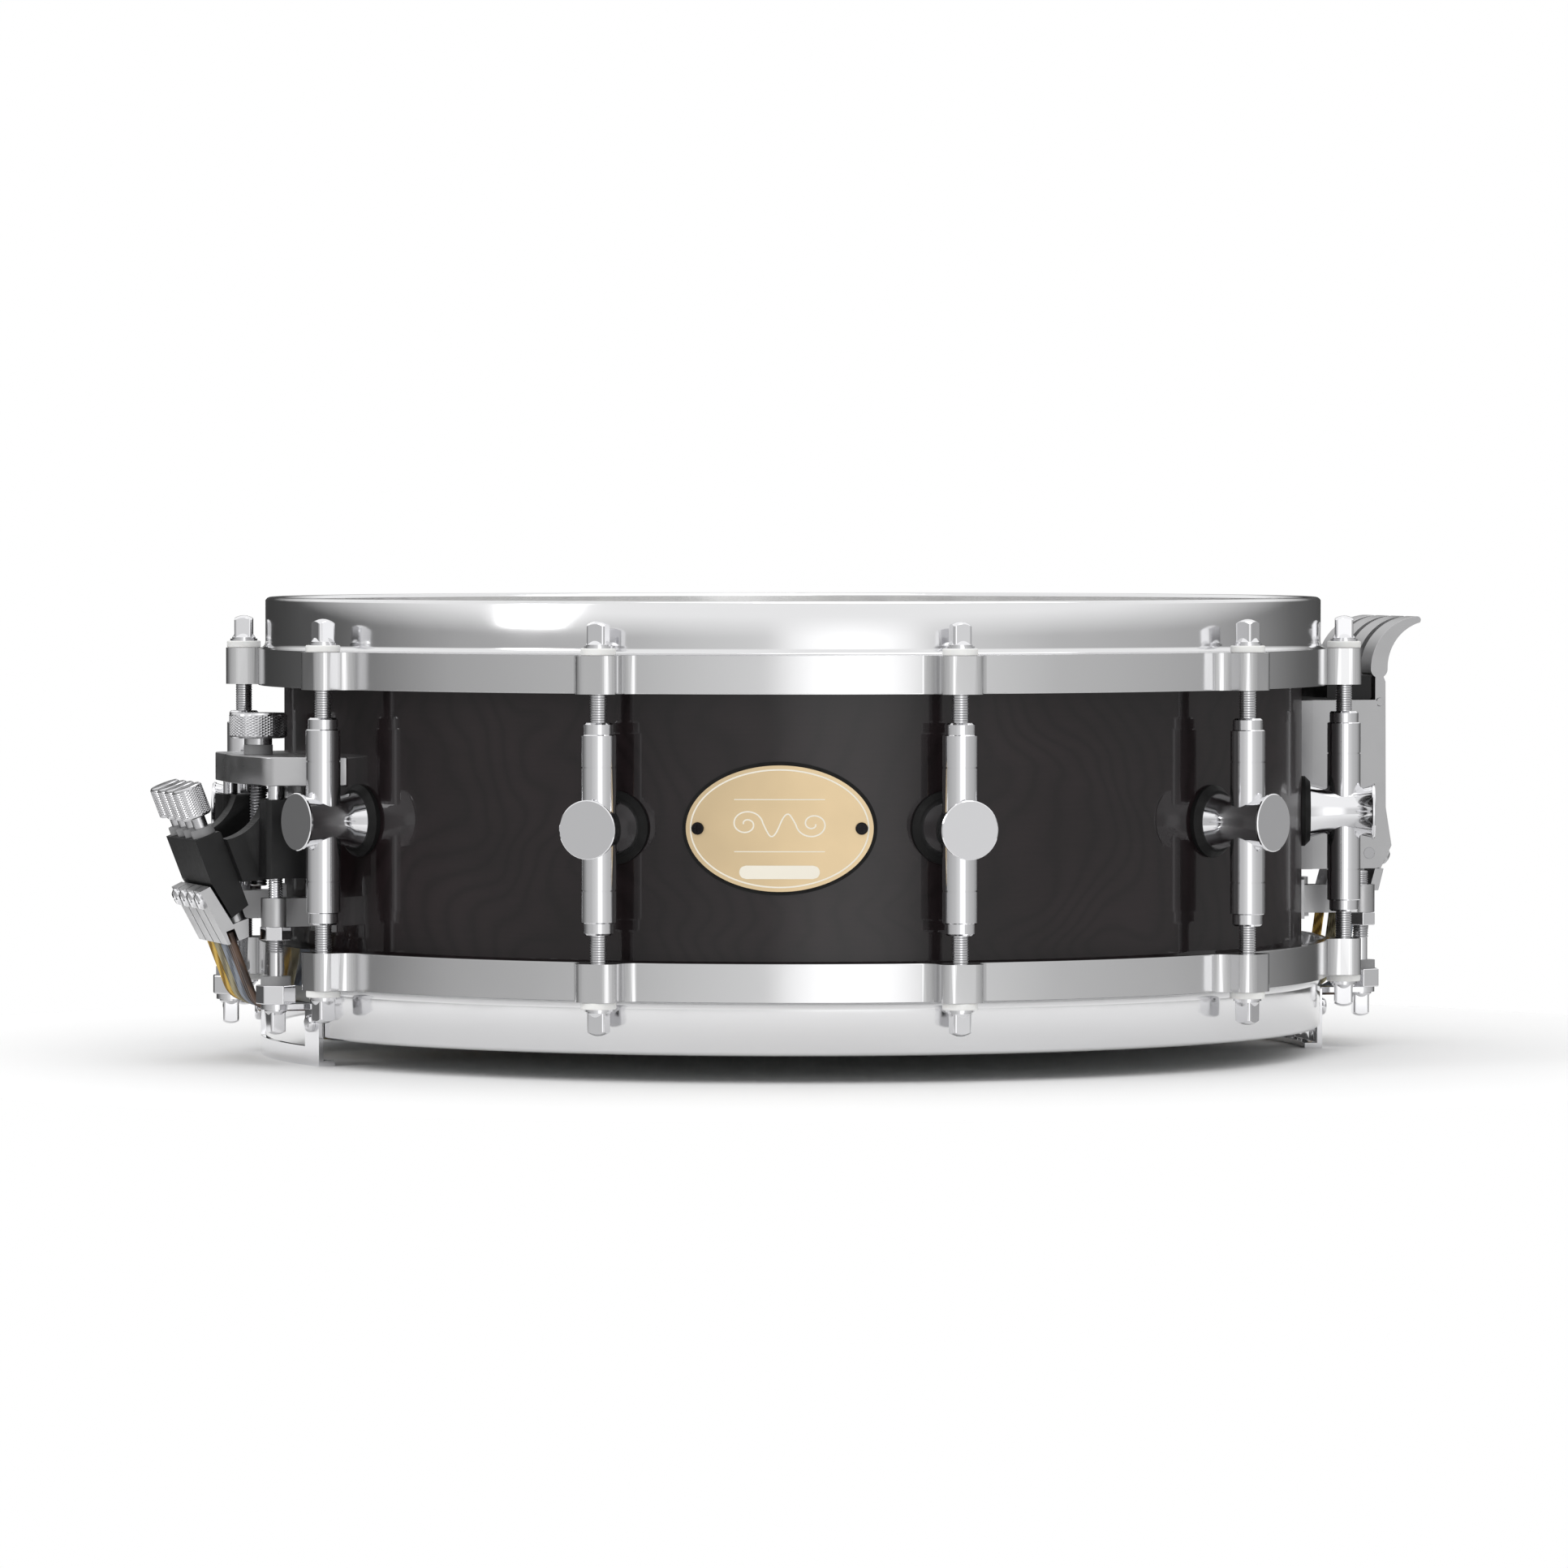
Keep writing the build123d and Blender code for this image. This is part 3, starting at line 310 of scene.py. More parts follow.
def stained_maple():
    """Espresso-stained figured maple under clear lacquer: deep gloss, with wavy contour figure.

    The pattern is laid out flat, as veneer is: its axes run round the shell and up it.
    """
    colours = bpy.context.scene.drum_colours
    sizes = bpy.context.scene.drum_sizes
    material, tree, shader = surface("stained_maple", Roughness=0.38, Coat_Weight=1.0, Coat_Roughness=0.03)
    shader.inputs["Specular IOR Level"].default_value = 0.12
    shader.inputs["Coat IOR"].default_value = 1.4
    # The lacquer gives its full gloss face on and is kept dark at the rounding edges of the shell.
    facing = add(tree, "ShaderNodeLayerWeight", {"Blend": 0.5}).outputs["Facing"]
    gloss = ramp(tree, facing, (0.25, 1.0), (0.85, 0.22))
    tree.links.new(gloss, shader.inputs["Coat Weight"])
    split = add(tree, "ShaderNodeSeparateXYZ", {"Vector": place_on_object(tree)})
    behind = add(tree, "ShaderNodeMath", {0: split.outputs["Y"], 1: -1.0}, operation="MULTIPLY")
    turn = add(tree, "ShaderNodeMath", {0: split.outputs["X"], 1: behind.outputs[0]}, operation="ARCTAN2")
    round_shell = add(tree, "ShaderNodeMath", {0: turn.outputs[0], 1: SHELL_R}, operation="MULTIPLY")
    flat = add(tree, "ShaderNodeCombineXYZ", {
        "X": round_shell.outputs[0], "Y": split.outputs["Z"]}).outputs[0]
    wide = add(tree, "ShaderNodeMapping", {"Vector": flat, "Scale": (0.62, 1.0, 1.0)}).outputs["Vector"]
    hills = noise(tree, 60 * MM, detail=1.6, vector=wide, distortion=0.5)
    # The slow drift along the veneer keeps the lines from closing into blots.
    drift = add(tree, "ShaderNodeMath", {0: round_shell.outputs[0], 1: 7.0, 2: hills},
                operation="MULTIPLY_ADD")
    lines = add(tree, "ShaderNodeMath", {0: drift.outputs[0], 1: 0.34 / sizes.figure_spacing},
                operation="MULTIPLY")
    wave = add(tree, "ShaderNodeMath", {0: lines.outputs[0]}, operation="SINE")
    spread = add(tree, "ShaderNodeMath", {0: wave.outputs[0], 1: 0.5, 2: 0.5}, operation="MULTIPLY_ADD")
    contour = ramp(tree, spread.outputs[0], (0.0, 0.55), (0.3, 0.82), (1.0, 1.0))
    fibre_map = add(tree, "ShaderNodeMapping", {"Vector": flat, "Scale": (0.06, 1.0, 1.0)})
    fibre = noise(tree, 0.9 * MM, detail=4.0, vector=fibre_map.outputs["Vector"])
    cloud = noise(tree, 35 * MM, detail=3.0, vector=wide)
    mixed = add(tree, "ShaderNodeMath", {0: contour, 1: cloud}, operation="MULTIPLY")
    grain = add(tree, "ShaderNodeMath", {0: fibre, 1: 0.22, 2: mixed.outputs[0]}, operation="MULTIPLY_ADD")
    tone = ramp(tree, grain.outputs[0], (0.18, (*colours.stain_dark, 1)), (0.78, (*colours.stain_light, 1)))
    tree.links.new(tone, shader.inputs["Base Color"])
    return material


def wrapped_cable(name, dark, light, pitch):
    """Wound or coated snare cable: fine slanting wraps, with painted shade in their grooves and painted
    highlights on their crests.
    """
    material, tree, shader = surface(name, Roughness=0.42)
    wraps = add(tree, "ShaderNodeTexWave", {
        "Vector": place_on_object(tree), "Scale": 1 / (pitch * 20), "Distortion": 0.4,
    }, bands_direction="DIAGONAL")
    # The base colour runs from painted shade in the grooves to a painted highlight on the crests; the same
    # wraps also drive the bump.
    tone = ramp(tree, wraps.outputs["Fac"], (0.25, rgba(dark)), (0.75, rgba(light)))
    tree.links.new(tone, shader.inputs["Base Color"])
    bump(tree, shader, wraps.outputs["Fac"], 0.06 * MM, strength=0.6)
    return material


def gold_wire():
    """Brass-coloured wound wire: bright, warm and metallic."""
    # The darker colour is the wraps' painted shade, the lighter one their painted highlight.
    material = wrapped_cable("gold_wire", "#8a6a22", "#d8b45a", 0.5 * MM)
    material.node_tree.nodes["Principled BSDF"].inputs["Metallic"].default_value = 0.7
    return material


def studio_floor():
    """Matt white paper sweep."""
    material, tree, shader = surface("studio_paper", Base_Color=rgba("#f6f6f6"), Roughness=0.9)
    mottle(tree, shader, "Roughness", 200 * MM, 0.85, 0.95)
    return material


MATERIALS = {}
MAKERS = {
    "stained_maple": stained_maple, "chrome": chrome_plate, "chrome_hoop": chrome_hoop,
    "knurled_chrome": knurled_chrome, "zinc_steel": zinc_plate, "coated_film": coated_film,
    "clear_film": clear_film, "aluminium": plain_aluminium, "white_nylon": white_nylon,
    "grey_nylon": grey_nylon, "black_rubber": black_rubber, "champagne_gold": champagne_gold,
    "black_steel": black_oxide, "satin_nickel": satin_nickel, "black_anodised": black_anodised,
    "badge_print": badge_print, "gold_wire": gold_wire, "studio_paper": studio_floor,
    # In each cable the darker colour is the wraps' painted shade, the lighter one their painted highlight.
    "beige_cable": lambda: wrapped_cable("beige_cable", "#6f664c", "#a39a7a", 0.6 * MM),
    "grey_cable": lambda: wrapped_cable("grey_cable", "#565c66", "#878e99", 0.6 * MM),
    "gut_cable": lambda: wrapped_cable("gut_cable", "#33241c", "#5a4436", 0.7 * MM),
}


def finish_of(name):
    if name not in MATERIALS:
        MATERIALS[name] = MAKERS[name]()
    return MATERIALS[name]


def paint(thing, finish_name):
    thing.data.materials.clear()
    thing.data.materials.append(finish_of(finish_name))


# ---------------------------------------------------------------- mesh helpers
def at(angle, x=0.0, y=0.0, z=0.0):
    """Matrix from the side frame (X outward, Y along the rim), in mm, to the drum's frame."""
    return Matrix.Rotation(math.radians(angle - 90), 4, "Z") @ Matrix.Translation((x * MM, y * MM, z * MM))


def turn_profile(bm, points, steps, matrix):
    """Spin (radius, height) points in mm about Z into a solid of revolution."""
    verts = [bm.verts.new((r * MM, 0, z * MM)) for r, z in points]
    edges = [bm.edges.new(pair) for pair in zip(verts, verts[1:])]
    before = set(bm.verts) - set(verts)
    bmesh.ops.spin(bm, geom=verts + edges, cent=(0, 0, 0), axis=(0, 0, 1), angle=2 * math.pi,
                   steps=steps, use_merge=True)
    made = [v for v in bm.verts if v not in before]
    bmesh.ops.remove_doubles(bm, verts=made, dist=1e-7)
    made = [v for v in bm.verts if v not in before]
    bmesh.ops.transform(bm, matrix=matrix, verts=made)


def make_piece(name, bm, body, finish_name, smooth=SMOOTH_ANGLE):
    """Turn a bmesh into a finished piece that rides on a body."""
    bmesh.ops.recalc_face_normals(bm, faces=bm.faces)
    mesh = bpy.data.meshes.new(name)
    bm.to_mesh(mesh)
    bm.free()
    mesh.shade_smooth()
    mesh.set_sharp_from_angle(angle=smooth)
    piece = bpy.data.objects.new(name, mesh)
    bpy.context.scene.collection.objects.link(piece)
    mesh.materials.append(finish_of(finish_name))
    if body:
        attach(piece, body)
    return piece


def merged_copy(node):
    """bmesh of a CAD node with its loose triangles joined and its flat faces made whole."""
    bm = bmesh.new()
    bm.from_mesh(NODES[node].data)
    bmesh.ops.remove_doubles(bm, verts=bm.verts, dist=WELD)
    bmesh.ops.dissolve_limit(bm, angle_limit=math.radians(0.6), verts=bm.verts, edges=bm.edges)
    return bm


def soften(node, body, finish_name, width=None):
    """Replace a CAD node by the same shape with its sharp edges broken."""
    width = width or bpy.context.scene.drum_sizes.edge_break
    piece = make_piece(node + "_finished", merged_copy(node), body, finish_name)
    edge = piece.modifiers.new("edge_break", "BEVEL")
    edge.width = width
    edge.segments = 2
    edge.limit_method = "ANGLE"
    edge.angle_limit = math.radians(35)
    edge.harden_normals = True
    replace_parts(piece, node)
    return piece


def thread_points(low, high, root, crest, pitch):
    """Outline of a screw thread drawn as ridges, from the axis at the bottom to the axis at the top."""
    count = max(2, round((high - low) / pitch))
    step = (high - low) / count
    points = [(0, low), (root, low)]
    for k in range(count):
        points += [(crest, low + (k + 0.4) * step), (crest, low + (k + 0.6) * step),
                   (root, low + (k + 1) * step)]
    return points + [(0, high)]


def edge_heading(edge):
    """Angle of an edge's middle round the Z axis."""
    middle = edge.verts[0].co + edge.verts[1].co
    return math.atan2(middle.y, middle.x)


def knurl(bm, radius, low, high, pitch, depth, matrix):
    """Band of diamond knurling: a grid round the knob, every other corner raised.

    Each face is split between its two low corners, so that the ridges cross at the high ones.
    """
    around = 2 * round(math.pi * radius / pitch)
    rows = 2 * max(2, round((high - low) / pitch))
    verts = [bm.verts.new((radius, 0, low + (high - low) * k / rows)) for k in range(rows + 1)]
    edges = [bm.edges.new(pair) for pair in zip(verts, verts[1:])]
    before = set(bm.verts) - set(verts)
    bmesh.ops.spin(bm, geom=verts + edges, cent=(0, 0, 0), axis=(0, 0, 1), angle=2 * math.pi,
                   steps=around, use_merge=True)
    made = [v for v in bm.verts if v not in before]
    lows = set()
    for v in made:
        row = round((v.co.z - low) / (high - low) * rows)
        column = round(math.atan2(v.co.y, v.co.x) / (2 * math.pi) * around) % around
        if (row + column) % 2 or row in (0, rows):
            v.co.xy *= (radius - depth) / radius
            lows.add(v)
    for face in {f for v in made for f in v.link_faces}:
        pair = [v for v in face.verts if v in lows]
        if len(face.verts) == 4 and len(pair) == 2 and not bm.edges.get(pair):
            bmesh.utils.face_split(face, pair[0], pair[1])
    for z in (low, high):
        ring = [v for v in made if abs(v.co.z - z) < 1e-7]
        rim = {e for v in ring for e in v.link_edges if e.other_vert(v) in ring}
        # In order round the knob, so that every run starts the cap at the same corner.
        bmesh.ops.edgeloop_fill(bm, edges=sorted(rim, key=edge_heading))
    bmesh.ops.transform(bm, matrix=matrix, verts=made)


# ---------------------------------------------------------------- operators
class DRUM_OT_finishes(bpy.types.Operator):
    """Give every CAD node its finish"""
    bl_idname = "drum.finishes"
    bl_label = "Finish the CAD nodes"

    def execute(self, context):
        for entry in frame["record"]["subparts"]:
            paint(NODES[entry["node"]], entry["material_slot"])
        for name in ("top_hoop", "bottom_hoop"):
            paint(NODES[name], "chrome_hoop")
        return {"FINISHED"}


class DRUM_OT_rods(bpy.types.Operator):
    """Cut threads on the tension rods, tie bolts, guide posts and lead screw"""
    bl_idname = "drum.rods"
    bl_label = "Threads"

    def execute(self, context):
        pitch = context.scene.drum_sizes.thread_pitch / MM
        sleeve_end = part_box("swivel_nuts")[1].z / MM
        band_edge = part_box("bottom_hoop")[1].z / MM
        mid = MID_Z / MM
        gap = mid * 2 - band_edge - sleeve_end
        bm = bmesh.new()
        for angle in LUG_ANGLES:
            for low in (sleeve_end - 0.5, mid * 2 - sleeve_end - gap):
                outline = thread_points(low, low + gap + 0.5, 2.45, 2.86, pitch)
                turn_profile(bm, outline, 24, at(angle, ROD_X))
        make_piece("tension_rod_threads", bm, "root", "zinc_steel")
        bm = bmesh.new()
        for angle, x, spans in ((ADJUSTER, ADJUSTER_POST_X, [(38.4, 42.7)]),
                                (THROWOFF, THROWOFF_POST_X, [(38.4, 42.7), (57.3, 61.9)])):
            for y in (POST_Y, -POST_Y):
                for low, high in spans:
                    turn_profile(bm, thread_points(low, high, 2.3, 2.75, pitch), 24, at(angle, x, y))
        make_piece("tie_bolt_threads", bm, "root", "zinc_steel")
        bm = bmesh.new()
        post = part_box("guide_posts")
        low, high = post[0].z / MM, post[1].z / MM
        thread_end, radius = 64.0, 2.5
        for y in (POST_Y, -POST_Y):
            outline = thread_points(low, thread_end, 2.1, radius, pitch)[:-1]
            outline += [(radius, thread_end + 0.3), (radius, high), (0, high)]
            turn_profile(bm, outline, 28, at(ADJUSTER, ADJUSTER_POST_X, y))
        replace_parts(make_piece("guide_posts_threaded", bm, "root", "chrome"), "guide_posts")
        bm = bmesh.new()
        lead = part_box("lead_screw")
        outline = thread_points(lead[0].z / MM, lead[1].z / MM, 2.5, 3.03, 1.0)
        turn_profile(bm, outline, 28, at(ADJUSTER, LEAD_SCREW_X))
        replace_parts(make_piece("lead_screw_threaded", bm, "master", "zinc_steel"), "lead_screw")
        return {"FINISHED"}


class DRUM_OT_hoops(bpy.types.Operator):
    """Polish the hoops: a fine skin over each collar, concave step and band"""
    bl_idname = "drum.hoops"
    bl_label = "Polished hoops"

    def execute(self, context):
        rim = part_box("top_hoop")[1].z / MM
        mid = MID_Z / MM
        step, lift = 2.5, 0.03
        inner, wall, band, band_top = 180.8 - 3 * lift, 184.5 + lift, 187.0 + lift, 141.1
        crown, crown_middle, crown_half_angle = 2.026, 182.65, math.radians(65.9)
        outline = [(inner + 0.2, band_top + 0.5), (inner, band_top + 0.6)]
        for k in range(-6, 7):
            angle = crown_half_angle * k / 6
            outline.append((crown_middle + crown * math.sin(angle), rim - crown + crown * math.cos(angle)))
        outline[2], outline[-1] = (inner, outline[2][1]), (wall, outline[-1][1])
        for k in range(11):
            angle = math.pi / 2 * k / 10
            outline.append((band - step * math.cos(angle), band_top + step * (1 - math.sin(angle))))
        outline += [(band, band_top - 0.2), (band, 128.7), (band - 0.2, 128.6)]
        # The bottom hoop's skin stays clear of the two snare gates.
        for name, side, spans in (("top_hoop", 1, [(0, 360)]),
                                  ("bottom_hoop", -1, [(-58, 94), (122, 274)])):
            bm = bmesh.new()
            for start, end in spans:
                points = [(r, mid + side * (z - mid)) for r, z in outline]
                self.arc(bm, points, start, end)
            make_piece(name + "_polish", bm, "root", "chrome_hoop")
            self.open_step(name, side, spans)
        return {"FINISHED"}

    def open_step(self, name, side, spans):
        """Replace the hoop by a copy without the coarse step faces that the skin lies over."""
        bm = bmesh.new()
        bm.from_mesh(NODES[name].data)
        bmesh.ops.remove_doubles(bm, verts=bm.verts, dist=WELD)
        covered = [f for f in bm.faces if all(self.on_step(v.co / MM, side, spans) for v in f.verts)]
        if not covered:
            raise RuntimeError(name + " has no step faces under its skin")
        bmesh.ops.delete(bm, geom=covered, context="FACES")
        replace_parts(make_piece(name + "_body", bm, "root", "chrome_hoop"), name)

    def on_step(self, point, side, spans):
        """Whether a point in mm lies on the concave step, at an angle that the skin covers."""
        radius, height = math.hypot(point.x, point.y), MID_Z / MM + side * (point.z - MID_Z / MM)
        angle = (math.degrees(math.atan2(point.y, point.x)) + 90) % 360
        spanned = any(start <= angle + turn <= end for start, end in spans for turn in (0, -360))
        return spanned and 184.45 < radius < 187.05 and 141.05 < height < 143.65

    def arc(self, bm, points, start, end):
        """Spin (radius, height) points between two angles from the badge, in degrees."""
        base = math.radians(start - 90)
        verts = [bm.verts.new((r * math.cos(base) * MM, r * math.sin(base) * MM, z * MM))
                 for r, z in points]
        edges = [bm.edges.new(pair) for pair in zip(verts, verts[1:])]
        degrees_per_step = 1.5
        bmesh.ops.spin(bm, geom=verts + edges, cent=(0, 0, 0), axis=(0, 0, 1),
                       angle=math.radians(end - start), steps=round((end - start) / degrees_per_step),
                       use_merge=end - start == 360)


class DRUM_OT_knobs(bpy.types.Operator):
    """Knurl the master knob and the four fine knobs"""
    bl_idname = "drum.knobs"
    bl_label = "Knurled knobs"

    def execute(self, context):
        sizes = context.scene.drum_sizes
        low, high, chamfer = 110.8, 119.5, 0.5
        bm = bmesh.new()
        matrix = at(ADJUSTER, LEAD_SCREW_X)
        turn_profile(bm, [(0, low - 2.2), (4.8, low - 2.2), (4.8, low), (9.2, low), (9.7, low + chamfer),
                          (9.7, high - chamfer), (9.2, high), (0, high)], 64, matrix)
        knurl(bm, 10.05 * MM, (low + chamfer) * MM, (high - chamfer) * MM,
              sizes.knurl_pitch, sizes.knurl_depth, matrix)
        piece = make_piece("master_knob_knurled", bm, "master", "knurled_chrome",
                           smooth=KNURL_SMOOTH_ANGLE)
        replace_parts(piece, "master_knob")
        for number in range(1, 5):
            bm = bmesh.new()
            matrix = self.tilted(number)
            turn_profile(bm, [(0, -24), (1.95, -24), (1.95, -4.5), (2.5, -4.5), (2.5, 6.8), (4.7, 6.8),
                              (5.1, 7.2), (5.1, 17.4), (4.7, 17.8), (0, 17.8)], 48, matrix)
            # The small knobs are cut with a slightly finer wheel.
            knurl(bm, 5.4 * MM, 7.3 * MM, 17.3 * MM,
                  sizes.knurl_pitch * 0.85, sizes.knurl_depth * 0.9, matrix)
            piece = make_piece(f"fine_knob_{number}_knurled", bm, f"fine_knob_{number}", "knurled_chrome",
                               smooth=KNURL_SMOOTH_ANGLE)
            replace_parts(piece, f"fine_knob_{number}")
        return {"FINISHED"}

    def tilted(self, number):
        """Matrix of a fine knob's own axis on the leaning head block."""
        y = CLAMP_SPACING * (number - 2.5)
        return at(ADJUSTER, BLOCK_X, y, BLOCK_Z) @ Matrix.Rotation(BLOCK_LEAN, 4, "Y")


class DRUM_OT_fittings(bpy.types.Operator):
    """Break the edges of the machined fittings"""
    bl_idname = "drum.fittings"
    bl_label = "Machined fittings"

    def execute(self, context):
        for node in ("adjuster_bracket", "tie_arms", "throwoff_housing"):
            soften(node, "root", "satin_nickel")
        for node in ("tie_spacers", "tie_nuts", "gate_guards"):
            soften(node, "root", "chrome")
        soften("throwoff_insert", "root", "black_anodised")
        for node in ("carriage", "head_block"):
            soften(node, "carriage", "black_anodised", 0.6 * MM)
        for k in range(1, 5):
            soften(f"cable_clamp_{k}", f"cable_clamp_{k}", "satin_nickel")
            soften(f"lever_clamp_{k}", f"throw_lever_{k}", "satin_nickel", 0.25 * MM)
            soften(f"throw_lever_{k}", f"throw_lever_{k}", "satin_nickel", 0.8 * MM)
        return {"FINISHED"}


class DRUM_OT_badge(bpy.types.Operator):
    """Print the border line, the scrolls and the blank panel on the badge"""
    bl_idname = "drum.badge"
    bl_label = "Badge print"

    def execute(self, context):
        face = -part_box("badge_plate")[0].y / MM + 0.03
        half_width, half_height = 31.0, 20.85
        bm = bmesh.new()
        border = 1.45
        self.line(bm, self.oval(half_width - border, half_height - border), 0.26, closed=True)
        left, right = (self.scroll(side * 11.0, 1.5, 5.6, side) for side in (-1, 1))
        self.line(bm, left + [(-2.2, -4.6), (2.2, 6.6)] + right[::-1], 0.24)
        for y in (9.6, -7.6):
            self.line(bm, [(-15.0, y), (-5.0, y), (5.0, y), (15.0, y)], 0.16)
        self.panel(bm, 0, -14.4, 26.6 / 2, 4.45 / 2)
        self.wrap(bm, face)
        make_piece("badge_print", bm, "root", "badge_print")
        return {"FINISHED"}

    def oval(self, a, b, count=96):
        turns = [2 * math.pi * k / count for k in range(count)]
        return [(a * math.cos(turn), b * math.sin(turn)) for turn in turns]

    def scroll(self, x, y, size, side):
        """Spiral from its eye outward; the two sides are a half turn apart."""
        steps = 36
        points = []
        for k in range(steps + 1):
            share = k / steps
            angle = 2 * math.pi * 1.5 * share
            radius = side * size * (0.15 + 0.85 * share)
            points.append((x + radius * math.cos(angle), y - radius * 0.85 * math.sin(angle)))
        return points

    def line(self, bm, points, width, closed=False):
        """Flat ribbon of ink along a path, in mm on the unrolled plate."""
        data = bpy.data.curves.new("ink", "CURVE")
        data.dimensions = "3D"
        data.bevel_depth = width
        data.bevel_resolution = 1
        spline = data.splines.new("NURBS")
        spline.points.add(len(points) - 1)
        for point, (x, y) in zip(spline.points, points):
            point.co = (x, y, 0, 1)
        spline.order_u = 3
        spline.resolution_u = 6
        spline.use_cyclic_u = closed
        spline.use_endpoint_u = not closed
        add_curve(bm, data)

    def panel(self, bm, x, y, half_width, half_height):
        """Blank plate with round ends."""
        made = bmesh.ops.create_grid(bm, x_segments=40, y_segments=12, size=1)["verts"]
        for v in made:
            row = v.co.y
            reach = half_width - half_height + half_height * math.sqrt(max(0.0, 1 - row * row))
            v.co = (x + v.co.x * reach, y + row * half_height, 0.1)

    def wrap(self, bm, face):
        """Roll the flat print round the shell's front."""
        for v in bm.verts:
            x, y, rise = v.co
            turn = x / face
            radius = (face + min(max(rise, 0.0), 0.12) * 0.4) * MM
            v.co = (radius * math.sin(turn), -radius * math.cos(turn), MID_Z + y * MM)


def add_curve(bm, data):
    """Add a curve's bevelled body to a bmesh and drop the curve."""
    holder = bpy.data.objects.new("curve", data)
    bpy.context.scene.collection.objects.link(holder)
    mesh = holder.evaluated_get(bpy.context.evaluated_depsgraph_get()).to_mesh()
    bm.from_mesh(mesh)
    holder.evaluated_get(bpy.context.evaluated_depsgraph_get()).to_mesh_clear()
    bpy.data.objects.remove(holder)
    bpy.data.curves.remove(data)


class DRUM_OT_snares(bpy.types.Operator):
    """Lay the four snare sets from the adjuster's clamps to the levers' clamps"""
    bl_idname = "drum.snares"
    bl_label = "Snare cables"

    SETS = [(0.4, 6, 1.5, "gold_wire"), (0.7, 4, 2.4, "beige_cable"), (0.8, 4, 2.5, "grey_cable"),
            (1.1, 3, 3.2, "gut_cable")]

    def execute(self, context):
        for number, (radius, count, spacing, finish_name) in enumerate(self.SETS):
            start, low, far, end = self.route(number, radius)
            along = (low - start).normalized()
            shifts = [Vector((0, spacing * (k - (count - 1) / 2), 0)) for k in range(count)]
            turn = at(THROWOFF).to_3x3()
            name = f"snare_set_{number + 1}"
            tip = self.cables(shifts, [start, start + along * 6], radius, finish_name, turn, name + "_tip")
            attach(tip, f"cable_clamp_{number + 1}")
            joint = far - Vector((18, 0, 0))
            # The bed is a hair thinner, so that its ends sit inside the tip and the tail.
            bed = self.cables(shifts, self.rounded([start + along * 3, low, joint]), radius * 0.97,
                              finish_name, turn, name + "_bed")
            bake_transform(bed)
            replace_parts(bed, name)
            tail = self.cables(shifts, self.rounded([joint, far, end]), radius, finish_name, turn,
                               name + "_tail")
            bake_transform(tail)
        return {"FINISHED"}

    def route(self, number, radius):
        """Corner points of a set's middle line, in the throw-off's side frame, in mm."""
        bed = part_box("snare_head")[0].z / MM - 0.35 - radius
        out, down = 4.25, 34.0             # clamp mouth from the top of the head block, along its lean
        sx = BLOCK_X + out * math.cos(BLOCK_LEAN) - down * math.sin(BLOCK_LEAN)
        sz = BLOCK_Z - out * math.sin(BLOCK_LEAN) - down * math.cos(BLOCK_LEAN)
        sy, ey = -CLAMP_SPACING * (number - 1.5), -LEVER_SPACING * (number - 1.5)
        reach = sx - (sz - bed) * math.tan(BLOCK_LEAN)
        return [Vector(p) for p in ((-sx, sy, sz), (-reach, sy, bed), (200.8, ey, bed), (205.3, ey, 50.6))]

    def rounded(self, points, radius=9.0):
        """Replace each inner corner by a tangent arc."""
        path = [points[0]]
        for before, corner, after in zip(points, points[1:], points[2:]):
            a, b = (before - corner).normalized(), (after - corner).normalized()
            turn = math.pi - a.angle(b)
            setback = radius * math.tan(turn / 2)
            first, last = corner + a * setback, corner + b * setback
            for k in range(9):
                t = k / 8
                path.append(first * (1 - t) ** 2 + corner * 2 * t * (1 - t) + last * t ** 2)
        return path + [points[-1]]

    def cables(self, shifts, path, radius, finish_name, turn, name):
        bm = bmesh.new()
        for shift in shifts:
            data = bpy.data.curves.new("cable", "CURVE")
            data.dimensions = "3D"
            data.bevel_depth = radius * MM
            data.bevel_resolution = 3
            data.use_fill_caps = True
            spline = data.splines.new("POLY")
            spline.points.add(len(path) - 1)
            for point, place in zip(spline.points, path):
                point.co = (*(turn @ (place + shift) * MM), 1)
            add_curve(bm, data)
        return make_piece(name, bm, None, finish_name)


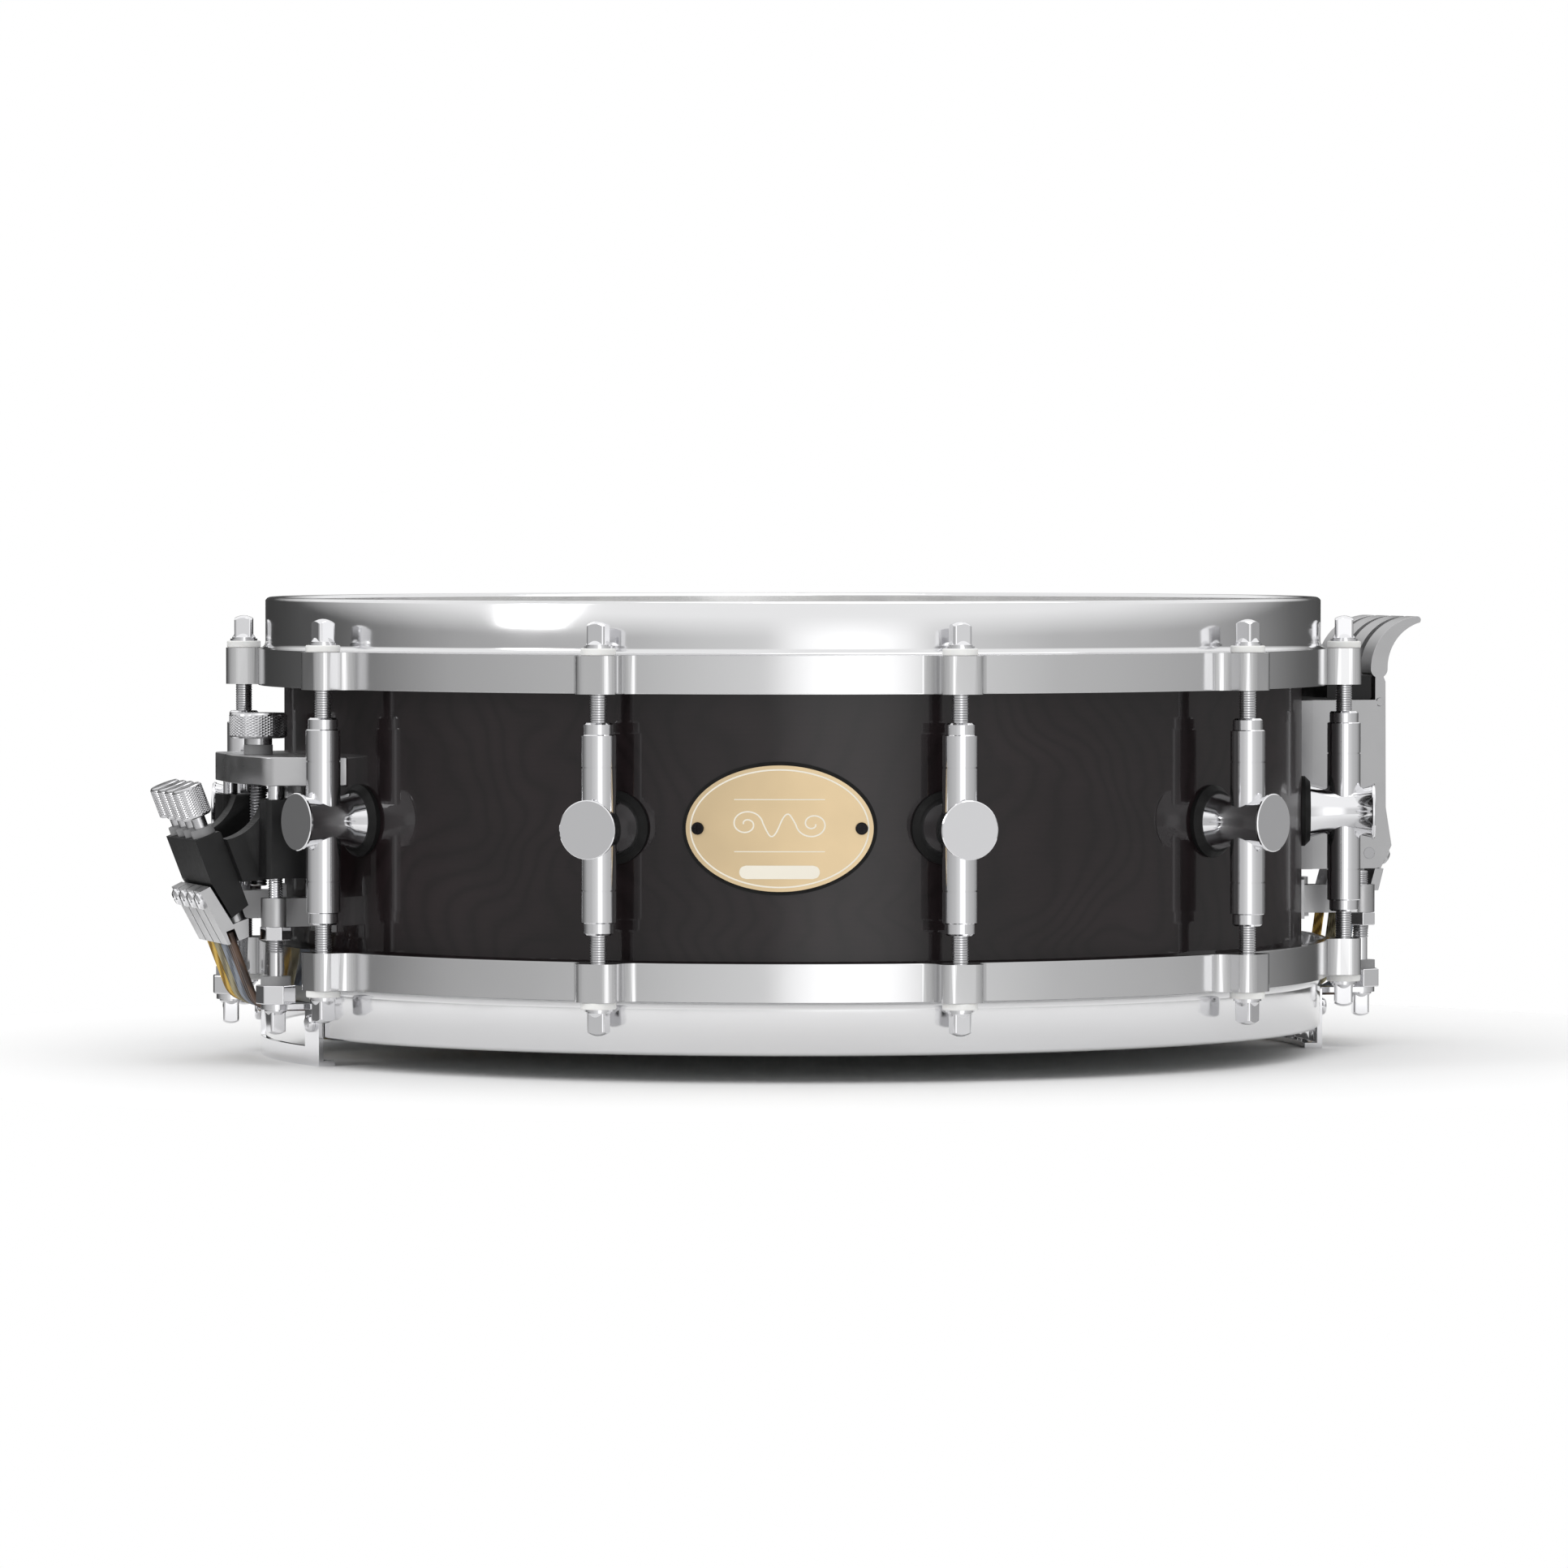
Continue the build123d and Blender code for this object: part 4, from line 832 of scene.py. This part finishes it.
class DRUM_OT_stage(bpy.types.Operator):
    """Paper sweep, soft boxes, surroundings and camera"""
    bl_idname = "drum.stage"
    bl_label = "Stage"

    def execute(self, context):
        scene = context.scene
        bm = bmesh.new()
        bmesh.ops.create_circle(bm, cap_ends=True, segments=96, radius=0.36)
        floor = make_piece("studio_floor", bm, None, "studio_paper")
        self.soft_box("side_box", (-2.4, -1.6, 1.6), (0.8, 1.4), 14)
        self.soft_box("top_box", (0.3, 0.4, 2.6), (1.6, 1.6), 9)
        self.surroundings(scene)
        data = bpy.data.cameras.new("camera")
        data.lens = 196.5
        data.sensor_width = 36.0
        data.clip_end = 100
        camera = bpy.data.objects.new("camera", data)
        scene.collection.objects.link(camera)
        camera.location = (74.3 * MM, -2998.1 * MM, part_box("top_hoop")[1].z + 25.3 * MM)
        looks_down, turned_left = math.radians(1.738), math.radians(1.48)
        camera.rotation_euler = (math.pi / 2 - looks_down, 0, turned_left)
        scene.camera = camera
        scene.view_settings.view_transform = "Standard"
        return {"FINISHED"}

    def soft_box(self, name, place, size, power):
        data = bpy.data.lights.new(name, "AREA")
        data.shape = "RECTANGLE"
        data.size, data.size_y = size
        data.energy = power
        light = bpy.data.objects.new(name, data)
        bpy.context.scene.collection.objects.link(light)
        light.location = place
        aim = Vector((0, 0, MID_Z)) - Vector(place)
        light.rotation_euler = aim.to_track_quat("-Z", "Y").to_euler()

    def surroundings(self, scene):
        world = bpy.data.worlds.new("studio")
        scene.world = world
        world.use_nodes = True
        tree = world.node_tree
        shade = tree.nodes["Background"]
        ways = add(tree, "ShaderNodeTexCoord").outputs["Generated"]
        level = add(tree, "ShaderNodeVectorMath", {0: ways, 1: (1, 1, 0)}, operation="MULTIPLY")
        heading = add(tree, "ShaderNodeVectorMath", {0: level.outputs[0]}, operation="NORMALIZE")
        # The brightest direction lies a little to the right of straight in front.
        turn = add(tree, "ShaderNodeVectorMath", {0: heading.outputs[0], 1: (0.24, -0.97, 0)},
                   operation="DOT_PRODUCT")
        height = add(tree, "ShaderNodeSeparateXYZ", {"Vector": ways}).outputs["Z"]
        front = add(tree, "ShaderNodeMath", {0: turn.outputs["Value"], 1: 0.5, 2: 0.5},
                    operation="MULTIPLY_ADD")
        # From behind the drum, past its sides, to straight in front.
        walls = ramp(tree, front.outputs[0], (0.0, 0.05), (0.2, 0.15),
                     (0.5, 0.46), (0.85, 0.6), (0.975, 0.8), (0.9985, 1.5))
        above = ramp(tree, height, (0.18, 0.0), (0.42, 1.0))
        tone = add(tree, "ShaderNodeMix", {"Factor": above, "A": walls, "B": (1.08, 1.08, 1.08, 1)},
                   data_type="RGBA")
        seen = add(tree, "ShaderNodeLightPath").outputs["Is Camera Ray"]
        # The camera itself sees plain white behind the drum.
        backdrop = add(tree, "ShaderNodeMix", {
            "Factor": seen, "A": tone.outputs["Result"], "B": (1, 1, 1, 1)}, data_type="RGBA")
        tree.links.new(backdrop.outputs["Result"], shade.inputs["Color"])
        shade.inputs["Strength"].default_value = 1.0


class DRUM_PT_panel(bpy.types.Panel):
    """Lists the drum's sizes, colours and steps"""
    bl_label = "Snare drum"
    bl_idname = "DRUM_PT_panel"
    bl_space_type = "VIEW_3D"
    bl_region_type = "UI"
    bl_category = "Snare drum"

    def draw(self, context):
        layout = self.layout
        for group in (context.scene.drum_sizes, context.scene.drum_colours):
            for key in group.__annotations__:
                layout.prop(group, key)
        for step in STEPS:
            layout.operator(step.bl_idname)


STEPS = [DRUM_OT_finishes, DRUM_OT_hoops, DRUM_OT_rods, DRUM_OT_knobs, DRUM_OT_fittings, DRUM_OT_badge,
         DRUM_OT_snares, DRUM_OT_stage]
CLASSES = [DrumSizes, DrumColours, *STEPS, DRUM_PT_panel]


def register():
    for cls in CLASSES:
        bpy.utils.register_class(cls)
    bpy.types.Scene.drum_sizes = bpy.props.PointerProperty(type=DrumSizes)
    bpy.types.Scene.drum_colours = bpy.props.PointerProperty(type=DrumColours)


def unregister():
    del bpy.types.Scene.drum_colours
    del bpy.types.Scene.drum_sizes
    for cls in reversed(CLASSES):
        bpy.utils.unregister_class(cls)


def main():
    register()
    for step in STEPS:
        group, call = step.bl_idname.split(".")
        getattr(getattr(bpy.ops, group), call)()


if __name__ == "__main__":
    main()
